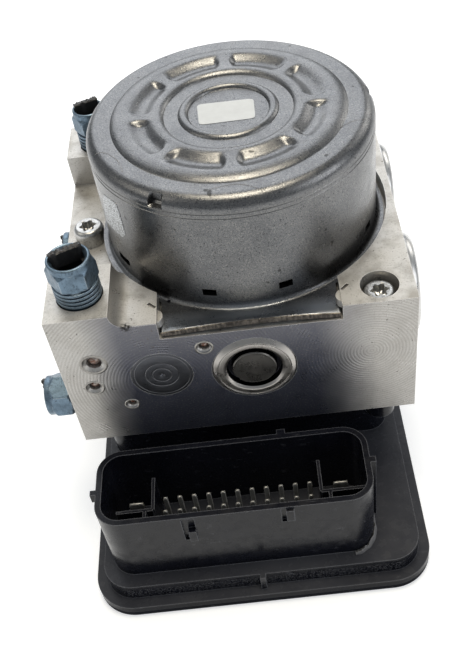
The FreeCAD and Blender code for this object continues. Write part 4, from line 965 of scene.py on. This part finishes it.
@dataclass
class CanMarkings:
    """The blank labels on the can and the arcs scribed in its crown."""

    can: MotorCan
    crown_label: tuple[Pair, ...] = ((-8.0, 4.35), (6.66, 4.18), (6.63, -4.87), (-7.59, -5.09))
    wall_label: tuple[Pair, ...] = (
        (-153.3, 99.1), (-142.5, 100.2), (-141.7, 96.8), (-141.2, 90.5), (-144.6, 88.6), (-151.5, 88.4), (-162.6, 86.4),
        (-157.0, 93.9))
    arcs: tuple[tuple[Pair, ...], ...] = (
        ((-33.6, -11.9), (-30.9, -12.7), (-28.1, -15.8), (-26.7, -19.1), (-26.3, -21.4)),
        ((-6.5, -32.9), (-4.5, -31.8), (1.0, -31.3), (5.75, -33.9), (6.3, -34.9)),
        ((26.8, -13.7), (29.5, -11.7), (32.0, -11.1), (33.5, -11.0)))
    arc_width: float = 0.22
    paper: float = 0.09
    sunk: float = -0.02
    ink: float = 0.03

    def rounded(self, corners: Sequence[Pair], cut: float) -> list[Pair]:
        """An outline with its corners rounded over a share of each side."""
        line = []
        for before, corner, after in zip([corners[-1], *corners], corners, [*corners[1:], corners[0]]):
            here = Vector(corner)
            line += soft_corner(here.lerp(Vector(before), cut), here, here.lerp(Vector(after), cut), 4)
        return line

    def patch(self, outline: Sequence[Pair], rings: int,
              lift: Callable[[float, float, float], Point]) -> Shape:
        """A closed thin patch inside an outline, laid on a surface.

        Args:
            outline: The outline in the surface's own two coordinates.
            rings: The number of rings from the outline to its middle.
            lift: Turns the two coordinates and a height over the surface into a point.

        Returns:
            The patch with an upper and a lower face.
        """
        middle = [sum(values) / len(outline) for values in zip(*outline)]
        shares = [1.0 - k / rings for k in range(rings)] + [0.0]
        skins = []
        for share, height in [(k, self.sunk) for k in reversed(shares)] + [(k, self.paper) for k in shares]:
            around = [[m + (c - m) * share for c, m in zip(p, middle)] for p in outline[:None if share else 1]]
            skins.append([lift(*spot, height) for spot in around])
        return skin(skins)

    def on_crown(self, x: float, y: float, height: float) -> Point:
        """A point over the crown."""
        return x, y, self.can.surface(x, y) + height

    def on_wall(self, angle: float, z: float, height: float) -> Point:
        """A point over the can's wall."""
        return round_point(self.can.radius + height, z, math.radians(angle))

    def scribed(self, arc: Sequence[Pair]) -> Shape:
        """One scribed arc as a thin closed strip that follows the crown."""
        curve = []
        padded = [arc[0], *arc, arc[-1]]
        for i in range(1, len(padded) - 2):
            p0, p1, p2, p3 = (Vector(p) for p in padded[i - 1:i + 3])
            for k in range(6):
                t = k / 6
                curve.append(0.5 * (2 * p1 + (p2 - p0) * t + (2 * p0 - 5 * p1 + 4 * p2 - p3) * t * t
                                    + (3 * p1 - p0 - 3 * p2 + p3) * t ** 3))
        curve.append(Vector(arc[-1]))
        rings = [[self.on_crown(*(point + side * self.arc_width / 2 * sign), height * self.ink)
                  for sign, height in ((-1, -1), (-1, 1), (1, 1), (1, -1))] for point, side in zip(curve, sides(curve))]
        return skin(rings, capped=True)

    def build(self, paper: Material, foil: Material, scratch: Material) -> None:
        """Makes the labels and arcs and puts them in the scene."""
        for name, finish, outline, cut, rings, lift in (
                ("crown_label", paper, self.crown_label, 0.12, 3, self.on_crown),
                ("foil_label", foil, self.wall_label, 0.2, 5, self.on_wall)):
            place_piece(name, self.patch(self.rounded(outline, cut), rings, lift), finish, "can_steel")
        marks = Shape()
        for arc in self.arcs:
            marks.add(self.scribed(arc))
        place_piece("scribed_arcs", marks, scratch, "can_steel")


@dataclass
class ValveBlock:
    """The machined block with its edges broken."""

    edge: float = 0.25

    def build(self, alloy: Material) -> None:
        """Makes the block and puts it in the scene."""
        place_piece("machined_block", bevelled_copy("valve_block", self.edge), alloy, "anodised_block", ["valve_block"],
                    even=True)


@dataclass
class ControlUnit:
    """The moulded control unit: housing and cover, with the flash left along the shroud's foot."""

    edge: float = 0.35
    cover_edge: float = 0.3
    flash: tuple[Point, ...] = (
        (27.2, -54.5, 0.25), (27.4, -57.0, 0.9), (27.6, -59.2, 1.5), (27.3, -61.5, 0.7), (27.2, -64.0, 1.1),
        (27.3, -66.4, 1.7), (26.4, -69.4, 1.3), (24.8, -71.6, 0.6), (22.4, -73.1, 0.9), (20.4, -73.3, 0.3))
    shelf: float = 10.0

    def torn_flash(self) -> Shape:
        """A ragged ridge of moulding flash along the foot of the shroud."""
        path = [Vector(a).lerp(Vector(b), k / 5) for a, b in zip(self.flash, self.flash[1:]) for k in range(5)]
        rings = []
        for (x, y, tall), side in zip(path, sides([spot.xy for spot in path])):
            shake = noise.noise(Vector((x * 1.7, y * 1.7, SEED)))
            tall *= 1.5 + 0.9 * shake
            section = ((-0.55, -0.3), (-0.40, 0.5 * tall), (0.10 + 0.4 * shake, tall), (0.8, 0.35 * tall), (1.7, -0.3))
            rings.append([(*(Vector((x, y)) - side * out), self.shelf + up) for out, up in section])
        return skin(rings, capped=True)

    def build(self, plastic: Material, dull: Material, pale: Material) -> None:
        """Makes the mouldings and puts them in the scene."""
        for name, node, edge, finish in (("moulded_housing", "ecu_housing", self.edge, plastic),
                                         ("moulded_cover", "ecu_cover", self.cover_edge, dull)):
            place_piece(name, bevelled_copy(node, edge), finish, "moulded_black", [node], even=True)
        place_piece("moulding_flash", self.torn_flash(), pale, "moulded_black")


@dataclass
class ConnectorPins:
    """The two rows of signal pins and the broad power blades in the socket."""

    count: int = 11
    pitch: float = 4.0
    first: float = -29.75
    rows: Pair = (-63.6, -59.4)
    width: float = 1.3
    thickness: float = 0.8
    chamfer: float = 0.12
    low: float = 4.25
    high: float = 26.7
    blade_width: float = 4.0
    blade_high: float = 27.5
    blades: tuple[Point, ...] = ((-37.6, -60.9, 1.0), (18.6, -60.9, 1.0), (-43.4, -67.2, 0.6))

    def terminal(self, width: float, high: float) -> Shape:
        """One flat terminal with a rounded top, its middle line on the Z axis."""
        half, deep = width / 2, self.thickness / 2
        rings = []
        for x, y, z in ((half - 0.05, deep - 0.04, self.low), (half, deep, self.low + 0.2), (half, deep, high - 0.62),
                        (half - 0.04, deep - 0.02, high - 0.42), (half - 0.13, deep - 0.08, high - 0.22),
                        (half - 0.27, deep - 0.16, high - 0.07), (half - 0.42, deep - 0.26, high)):
            cut = min(self.chamfer, y * 0.6)
            quarter = [(x, y - cut), (x - cut, y), (cut - x, y), (-x, y - cut)]
            rings.append([(a, b, z) for a, b in quarter + [(-a, -b) for a, b in quarter]])
        return skin(rings, capped=True)

    def build(self, tin: Material, grid: Rule, places: Rule) -> None:
        """Repeats the pin in its grid, places the blades and puts both in the scene."""
        width, depth = self.pitch * (self.count - 1), self.rows[1] - self.rows[0]
        middle = (self.first + width / 2, (self.rows[0] + self.rows[1]) / 2, 0.0)
        pins = grid.run(make_mesh("pin", self.terminal(self.width, self.high)), Columns=self.count, Rows=len(self.rows),
                        Width=width * MM, Depth=depth * MM, Middle=[c * MM for c in middle], Finish=tin)
        place_piece("signal_pins", pins, tin, "tinned_copper", ["connector_pins"])
        spots = [Spot((x, y, 0.0), size=(share, 1.0, 1.0)) for x, y, share in self.blades]
        blades = repeated(self.terminal(self.blade_width, self.blade_high), spots, tin, places)
        place_piece("power_blades", blades, tin, "tinned_copper", ["power_terminals"])


@dataclass
class LineNuts:
    """The brake line nuts and the torn pipe ends in them, at two thread sizes."""

    engaged: float = 9.0
    hexagon: float = 7.3
    pitch: float = 1.22
    groove: float = 0.75
    turn: float = 8.0
    across: float = 0.92
    stub: float = 0.68
    wall: float = 0.9
    flap_turn: float = 24.0
    flap_reach: float = 0.71
    flap_back: float = 0.27
    flap_rise: float = 1.4
    flap_steps: int = 26
    flap_section: tuple[Pair, ...] = ((-0.85, 0.0), (-0.95, 0.93), (-0.6, 1.0), (0.0, 0.98), (0.6, 1.0), (0.95, 0.94),
                                      (0.85, 0.0))

    def ports(self) -> list[tuple[float, float, list[Spot]]]:
        """The ports of each thread radius and each length of thread that shows."""
        return [(6.0, 1.5, [Spot((-50.6, y, 46.0), Axis.LEFT) for y in (-34.4, 28.0)]),
                (6.0, 5.2, [Spot((-41.9, -34.4, 82.4))]),
                (5.0, 1.5, [Spot((x, 43.7, 63.0), Axis.BACK) for x in (-20.0, -34.0)]),
                (5.0, 5.2, [Spot((-41.9, 34.0, 80.6))])]

    def nut(self, thread: float, shown: float) -> Shape:
        """A tube nut stood on its port: threads, hexagon and rounded lip round the pipe's bore."""
        root, corner, bore = thread - self.groove, thread * 1.06, thread * self.stub + 0.02
        top = shown + self.hexagon
        line = [(bore, -self.engaged, 0.0), (root, -self.engaged, 0.0)]
        level = 0.1
        while level + self.pitch < shown:
            line += [(root, level + 0.25, 0.05), (thread - 0.1, level + 0.50, 0.08),
                     (thread - 0.1, level + self.pitch - 0.05, 0.08), (root, level + self.pitch + 0.15, 0.05)]
            level += self.pitch
        line += [(root, shown, 0.0), (corner - 0.9, shown, 0.2), (corner, shown + 0.7, 0.3),
                 (corner, top - 2.6, 0.4), (corner - 0.75, top - 1.9, 0.3), (thread * 0.92, top - 1.5, 0.3),
                 (thread * 0.92, top - 0.25, 0.35), (thread * 0.86, top, 0.3), (thread * 0.80, top - 0.05, 0.2),
                 (bore, top - 0.9, 0.1), (bore, top - 1.4, 0.0)]
        flat, low, high = thread * self.across, shown, top - 1.7

        def warp(r: float, h: float, angle: float) -> Point:
            if low <= h <= high and r > flat * 0.97:
                off = (angle - math.radians(self.turn)) % math.radians(60) - math.radians(30)
                r = min(r, flat / math.cos(off))
            return round_point(r, h, angle)

        return turned(softened(line, 3), 96, ring=True, warp=warp)

    def pipe(self, thread: float, shown: float) -> Shape:
        """A coated pipe's end: a round wall torn off below the nut's lip, and its far side crushed to a ragged flap."""
        outer, inner, top = thread * self.stub, thread * self.stub - self.wall, shown + self.hexagon
        line = [(outer, 0.4 - self.engaged), (outer, top - 2.6), (inner, top - 2.8), (inner, 0.4 - self.engaged)]
        ahead = Vector((math.cos(math.radians(self.flap_turn)), math.sin(math.radians(self.flap_turn))))
        side = Vector((-ahead.y, ahead.x))
        reach, back = thread * self.flap_reach, thread * self.flap_back
        foot, edge = top - 3.0, top + self.flap_rise
        rings = []
        for i in range(self.flap_steps + 1):
            along, ring = (2.0 * i / self.flap_steps - 1.0) * reach, []
            for across, share in self.flap_section:
                shake = noise.noise(Vector((along * 1.6, across * 1.3, thread + SEED))) * (0.5 if share else 0.0)
                spot = ahead * along * (1.0 if share else 0.86)
                spot += side * (back + across * self.wall * (1.0 + 0.4 * shake))
                ring.append((*spot, foot + (edge - foot) * share + shake))
            rings.append(ring)
        return turned(line, 48, ring=True).add(skin(rings, capped=True))

    def build(self, zinc: Material, coat: Material, rule: Rule) -> None:
        """Makes each nut and pipe end once for each size and length, and places the copies."""
        for name, form, finish, slot, node in (("tube_nuts", self.nut, zinc, "zinc_steel", "line_nuts"),
                                               ("torn_pipes", self.pipe, coat, "pipe_coating", "pipe_stubs")):
            bm = bmesh.new()
            for thread, shown, spots in self.ports():
                bm.from_mesh(repeated(form(thread, shown), spots, finish, rule))
            place_piece(name, released(name, bm), finish, slot, [node])


@dataclass
class PumpPlugs:
    """The pressed plugs that close the pump's two bores."""

    x: float = -0.8
    z: float = 58.4
    inner: float = 36.2
    length: float = 7.5
    proud: float = 0.7
    body: float = 9.6
    rim: float = 11.1
    groove: float = 7.3
    disc: float = 5.85

    def profile(self) -> list[Pair]:
        """The plug's outline: bevelled rim, fine groove, deep groove and sunk disc."""
        face, seat = self.length + self.proud, self.length - 2.0
        return softened([(0, 0, 0), (self.body, 0, 0.2), (self.body, seat, 0), (self.rim, seat, 0),
                         (self.rim, face - 1.0, 0.25), (self.rim - 1.25, face - 0.05, 0.2), (9.70, face, 0.1),
                         (9.62, face - 0.3, 0.06), (9.45, face - 0.3, 0.06), (9.35, face - 0.05, 0.1),
                         (7.95, face - 0.05, 0.3), (self.groove, face - 0.6, 0.1), (self.groove, face - 2.6, 0.15),
                         (self.disc + 0.1, face - 2.6, 0.15), (self.disc + 0.05, face - 0.75, 0.2),
                         (self.disc - 0.25, face - 0.40, 0.15), (self.disc - 0.6, face - 0.45, 0.1),
                         (0.0, face - 0.45, 0)])

    def build(self, steel: dict[str, Material]) -> None:
        """Makes both plugs and puts them in the scene."""
        for name, side, axis in (("front", -1, Axis.FRONT), ("rear", 1, Axis.BACK)):
            plug = turned(self.profile(), 128).stood(axis, self.x, side * self.inner, self.z)
            place_piece("pressed_plug_" + name, plug, steel[name], "zinc_steel", ["pump_plug_" + name])


@dataclass
class DamperDisc:
    """The disc that closes the damper chamber, turned flush with the front face."""

    place: Point = (-25.0, -43.7, 59.5)
    radius: float = 8.06
    depth: float = 6.0
    grooves: Point = (7.3, 4.35, 2.5)

    def build(self, steel: Material) -> None:
        """Makes the disc and puts it in the scene."""
        line = [(0, -self.depth, 0), (self.radius, -self.depth, 0), (self.radius, -0.14, 0.1),
                (self.radius - 0.12, -0.03, 0.05)]
        for r in self.grooves:
            line += [(r + 0.10, -0.03, 0.03), (r, -0.08, 0.02), (r - 0.10, -0.03, 0.03)]
        line += [(0.6, -0.03, 0.1), (0.35, -0.4, 0.1), (0, -0.5, 0)]
        disc = turned(softened(line), 96).stood(Axis.FRONT, *self.place)
        place_piece("turned_disc", disc, steel, "zinc_steel", ["damper_disc"])


@dataclass
class BallSeats:
    """The bright raised rings staked round the pressed balls in the front face."""

    row: float = -43.7
    places: tuple[Point, ...] = ((-41.5, 66.2, 1.95), (-43.2, 57.4, 1.45), (-12.8, 68.0, 1.3), (-34.8, 49.3, 1.1))
    land: float = 1.45 / 1.02

    def build(self, steel: Material, rule: Rule) -> None:
        """Places a ring round each ball and puts them in the scene."""
        ring = turned(softened([(1.0, -0.4, 0.0), (1.0, 0.02, 0.03), (1.12, 0.14, 0.06), (1.24, 0.10, 0.06),
                                (1.34, -0.02, 0.0), (1.34, -0.4, 0.0)], 3), 48, ring=True)
        spots = [Spot((x, self.row, z), Axis.FRONT, size=(radius * self.land, radius * self.land, 1.0))
                 for x, z, radius in self.places]
        place_piece("staked_rings", repeated(ring, spots, steel, rule), steel, "anodised_block")


@dataclass
class AccumulatorCaps:
    """The pressed caps over the two accumulators on the right face."""

    x: float = 41.7
    z: float = 58.2
    rows: dict[str, float] = field(default_factory=lambda: {"front": -18.5, "rear": 24.0})
    radius: float = 14.5
    proud: float = 3.4

    def profile(self) -> list[Pair]:
        """The cap's outline: spigot, rolled edge, crimp ring and a centre dimple."""
        top, out = self.proud, self.radius
        return softened([(0, -4.2, 0), (12.46, -4.2, 0.2), (12.46, -2.2, 0), (out, -2.2, 0), (out, top - 1.8, 0.9),
                         (out - 1.2, top - 0.05, 0.9), (out - 3.6, top, 0.5), (out - 4.8, top - 1.0, 0.5),
                         (5.2, top - 1.0, 0.4), (4.4, top - 0.7, 0.3), (2.4, top - 0.75, 0.3), (1.3, top - 1.9, 0.3),
                         (0, top - 2.0, 0)])

    def build(self, steel: dict[str, Material]) -> None:
        """Makes both caps and puts them in the scene."""
        for name, y in self.rows.items():
            cap = turned(self.profile(), 128).stood(Axis.RIGHT, self.x, y, self.z)
            place_piece("pressed_cap_" + name, cap, steel[name], "zinc_steel", ["accumulator_cap_" + name])


@dataclass
class CapScrews:
    """The three socket cap screws with six-lobed recesses."""

    seat: float = 70.5
    length: float = 39.5
    head: float = 4.25
    height: float = 5.0
    shank: float = 2.5
    socket: float = 2.2
    socket_depth: float = 2.4
    places: tuple[Pair, ...] = ((-43.8, 1.5), (32.8, -37.5), (23.0, 38.2))
    spins: tuple[float, ...] = (12.0, 3.0, 20.0)

    def screw(self) -> Shape:
        """One screw whose head rests on z = 0."""
        top, deep = self.height, self.height - self.socket_depth
        line = [(0, -self.length, 0), (self.shank - 0.6, -self.length, 0), (self.shank, 0.8 - self.length, 0.2),
                (self.shank, 0, 0), (self.head, 0, 0.15), (self.head, top - 0.85, 0.5), (self.head - 0.75, top, 0.4),
                (self.socket + 0.28, top, 0.12), (self.socket, top - 0.3, 0.1), (self.socket, deep + 0.15, 0.1),
                (self.socket - 0.3, deep, 0.1), (0, deep - 0.5, 0)]

        def warp(r: float, h: float, angle: float) -> Point:
            if h > deep - 0.1 and 0.1 < r <= self.socket + 0.3:
                r *= 0.865 + 0.135 * math.cos(6 * angle)
            return round_point(r, h, angle)

        return turned(softened(line, 3), 120, warp=warp)

    def build(self, steel: Material, rule: Rule) -> None:
        """Places the three screws in the scene."""
        spots = [Spot((x, y, self.seat), Axis.UP, spin) for (x, y), spin in zip(self.places, self.spins)]
        place_piece("cap_screws", repeated(self.screw(), spots, steel, rule), steel, "zinc_steel", ["ecu_screws"])


@dataclass
class InnerPieces:
    """The CAD pieces that stay as they are, each dressed for its material slot."""

    finishes: dict[str, Material]

    def build(self) -> None:
        """Gives every CAD piece that stays a finish of its own slot."""
        for row in frame["record"]["subparts"]:
            node, slot = row["node"], row["material_slot"]
            if slot in self.finishes:
                target = frame["nodes"][node]
                target.data.materials.clear()
                target.data.materials.append(self.finishes[slot])
                log.info("%s: dressed as %s", node, slot)


@dataclass
class Studio:
    """The pale floor, the soft lights and the camera at the photograph's view."""

    eye: Point = (7.14, -202.14, 234.96)
    right: Point = (0.99358, -0.06705, -0.09112)
    up: Point = (0.11111, 0.72981, 0.67456)
    back: Point = (0.02127, -0.68035, 0.73258)
    focal: float = 909.31
    frame_height: float = 656.0
    shift: Pair = (-0.0443, 0.0348)
    sensor: float = 24.0
    clip: Pair = (0.01, 20.0)
    floor_size: float = 2400.0
    floor_color: Color = (0.77, 0.79, 0.82)
    floor_glow: float = 0.42
    sky: Color = (0.90, 0.95, 1.0)
    world_level: float = 0.37
    aim: Point = (0.0, 0.0, 70.0)
    lamps: tuple[tuple[str, Point, float, float, Color], ...] = (
        ("overhead", (20.0, 40.0, 900.0), 340.0, 4.1, (1.0, 0.90, 0.72)),
        ("back_panel", (-110.0, 1000.0, 700.0), 1060.0, 7.0, (0.95, 0.97, 1.0)),
        ("right_back", (800.0, 780.0, 560.0), 560.0, 2.2, (1.0, 0.97, 0.92)),
        ("left_fill", (-680.0, -120.0, 600.0), 460.0, 0.8, (1.0, 0.93, 0.80)),
        ("right_fill", (650.0, -250.0, 420.0), 420.0, 1.2, (0.97, 0.98, 1.0)))

    def camera(self) -> None:
        """Makes the camera."""
        data = bpy.data.cameras.new("camera")
        data.sensor_fit = "VERTICAL"
        data.sensor_height = self.sensor
        data.lens = self.focal * self.sensor / self.frame_height
        data.shift_x, data.shift_y = self.shift
        data.clip_start, data.clip_end = self.clip
        camera = bpy.data.objects.new("camera", data)
        turn = Matrix((self.right, self.up, self.back)).transposed().to_4x4()
        camera.matrix_world = Matrix.Translation([c * MM for c in self.eye]) @ turn
        bpy.context.scene.collection.objects.link(camera)
        bpy.context.scene.camera = camera

    def floor(self) -> None:
        """Makes the floor, which keeps the shadows and is brighter to the camera and to reflections."""
        half = self.floor_size / 2
        sheet = make_mesh("floor", block((-half, -half, -2.0), (half, half, -0.01)))
        r = Recipe("pale_floor", self.floor_color)
        rays = r.node("ShaderNodeLightPath").outputs
        camera, glossy, through = (rays[f"Is {kind} Ray"] for kind in ("Camera", "Glossy", "Transmission"))
        seen = r.calc("MAXIMUM", r.calc("MAXIMUM", camera, glossy), through)
        glow = r.node("ShaderNodeEmission", {"Strength": r.times(seen, self.floor_glow)})
        both = r.node("ShaderNodeAddShader", {0: r.shader.outputs["BSDF"], 1: glow.outputs["Emission"]})
        r.feed(r.output, {"Surface": both.outputs["Shader"]})
        sheet.materials.append(r.finish(0.9, 0.0))
        floor = bpy.data.objects.new("floor", sheet)
        bpy.context.scene.collection.objects.link(floor)

    def lamp(self, name: str, spot: Point, size: float, power: float, color: Color) -> None:
        """A square area light that looks at the middle of the object."""
        data = bpy.data.lights.new(name, "AREA")
        data.size, data.energy, data.color = size * MM, power, color
        lamp = bpy.data.objects.new(name, data)
        lamp.location = [c * MM for c in spot]
        lamp.rotation_euler = (Vector(self.aim) - Vector(spot)).to_track_quat("-Z", "Y").to_euler()
        bpy.context.scene.collection.objects.link(lamp)

    def build(self) -> None:
        """Makes the stage and sets the view."""
        world = bpy.data.worlds.new("studio")
        world.use_nodes = True
        sky = world.node_tree.nodes["Background"]
        sky.inputs["Color"].default_value = (*self.sky, 1.0)
        sky.inputs["Strength"].default_value = self.world_level
        bpy.context.scene.world = world
        bpy.context.scene.view_settings.view_transform = "Standard"
        self.floor()
        self.camera()
        for lamp in self.lamps:
            self.lamp(*lamp)


def main() -> None:
    """Builds the finishes, every sub-assembly in turn and the studio."""
    logging.basicConfig(level=logging.INFO, format="%(name)s: %(message)s")
    plastic = MouldedPlastic("moulded_black_skin", stipple=True).build()
    cover_plastic = MouldedPlastic("cover_skin", rough=0.34, ior=1.17).build()
    pale_plastic = MouldedPlastic("torn_plastic", (0.10, 0.10, 0.105), (0.26, 0.26, 0.26), 0.5).build()
    # The pins' near-white edge colour is a painted highlight that outlines each pin
    tin = SatinMetal("tinned_pin", (0.30, 0.30, 0.29), (0.20, 0.20, 0.19), grain=4200.0, mottle=700.0,
                     edge=(0.95, 0.95, 0.92), edge_width=0.16, edge_share=0.9, metal=0.55).build()
    bright = SatinMetal("screw_zinc", (0.42, 0.42, 0.41), (0.28, 0.275, 0.265), 0.30, mottle=500.0,
                        edge=(0.75, 0.74, 0.72)).build()
    paper = PlainLabel("blank_label", (0.52, 0.54, 0.55)).build()
    foil = PlainLabel("foil_label_skin", (0.62, 0.64, 0.66), 0.7, 0.38, 1.0).build()
    scratch = SatinMetal("scribed_line", (0.065, 0.067, 0.072), (0.05, 0.05, 0.055), 0.5).build()
    plugs = {name: TurnedSteel("plug_steel_" + name, (-0.8, side * 43.7, 58.4), color=(0.42, 0.40, 0.38),
                               stain=(0.37, 0.355, 0.335), groove=7.3, disc=5.85).build()
             for name, side in (("front", -1), ("rear", 1))}
    caps = {name: TurnedSteel("cap_steel_" + name, (41.7, y, 58.2), "X", (0.58, 0.58, 0.57), (0.50, 0.49, 0.47)).build()
            for name, y in (("front", -18.5), ("rear", 24.0))}
    # Painted reflection: the damper disc is painted dark, as the front face round it mirrors the black moulding
    disc = TurnedSteel("disc_steel", (-25.0, -43.7, 59.5), color=(0.115, 0.120, 0.135), stain=(0.085, 0.088, 0.10),
                       pitch=0.45, depth=0.010, rough=0.30, edge=(0.34, 0.34, 0.34)).build()
    staked = SatinMetal("staked_steel", (0.30, 0.29, 0.27), (0.20, 0.19, 0.18), 0.34, edge=(0.44, 0.43, 0.41)).build()
    inner = {"ball_steel": RustySteel().build(), "moulded_black": plastic}
    for kind, slot, *look in (
            (SatinMetal, "bearing_steel", "ground_steel", (0.60, 0.60, 0.61), (0.48, 0.48, 0.50), 0.18),
            (SatinMetal, "bush_bronze", "sintered_bronze", (0.50, 0.34, 0.16), (0.36, 0.24, 0.12), 0.45),
            (SatinMetal, "copper", "lacquered_copper", (0.64, 0.28, 0.14), (0.48, 0.19, 0.09), 0.34),
            (SatinMetal, "lamination_steel", "stacked_steel", (0.24, 0.24, 0.25), (0.16, 0.16, 0.17), 0.42),
            (MouldedPlastic, "ferrite", "dark_ferrite", (0.05, 0.05, 0.055), (0.11, 0.11, 0.11), 0.6),
            (SatinMetal, "dome_steel", "drawn_dome", (0.55, 0.55, 0.56), (0.42, 0.42, 0.43), 0.28),
            (SatinMetal, "spring_steel", "spring_wire", (0.38, 0.38, 0.39), (0.28, 0.28, 0.29), 0.34),
            (SatinMetal, "coil_yoke", "coated_yoke", (0.10, 0.10, 0.105), (0.07, 0.07, 0.075), 0.45),
            (SatinMetal, "alloy_piston", "turned_alloy", (0.66, 0.66, 0.67), (0.54, 0.54, 0.55), 0.30),
            (MouldedPlastic, "seal_rubber", "seal_rubber_skin", (0.012, 0.012, 0.013), (0.03, 0.03, 0.03), 0.62),
            (MouldedPlastic, "board_green", "green_board", (0.02, 0.09, 0.045), (0.05, 0.16, 0.09), 0.35)):
        inner[slot] = kind(*look).build()
    InnerPieces(inner).build()
    grid, places = grid_rule(), places_rule()
    can = MotorCan()
    can.build(DrawnSteel().build())
    CanMarkings(can).build(paper, foil, scratch)
    ValveBlock().build(MilledAlloy().build())
    ControlUnit().build(plastic, cover_plastic, pale_plastic)
    ConnectorPins().build(tin, grid, places)
    LineNuts().build(BlueZinc().build(), PipeCoat().build(), places)
    PumpPlugs().build(plugs)
    DamperDisc().build(disc)
    BallSeats().build(staked, places)
    AccumulatorCaps().build(caps)
    CapScrews().build(bright, places)
    Studio().build()


if __name__ == "__main__":
    main()
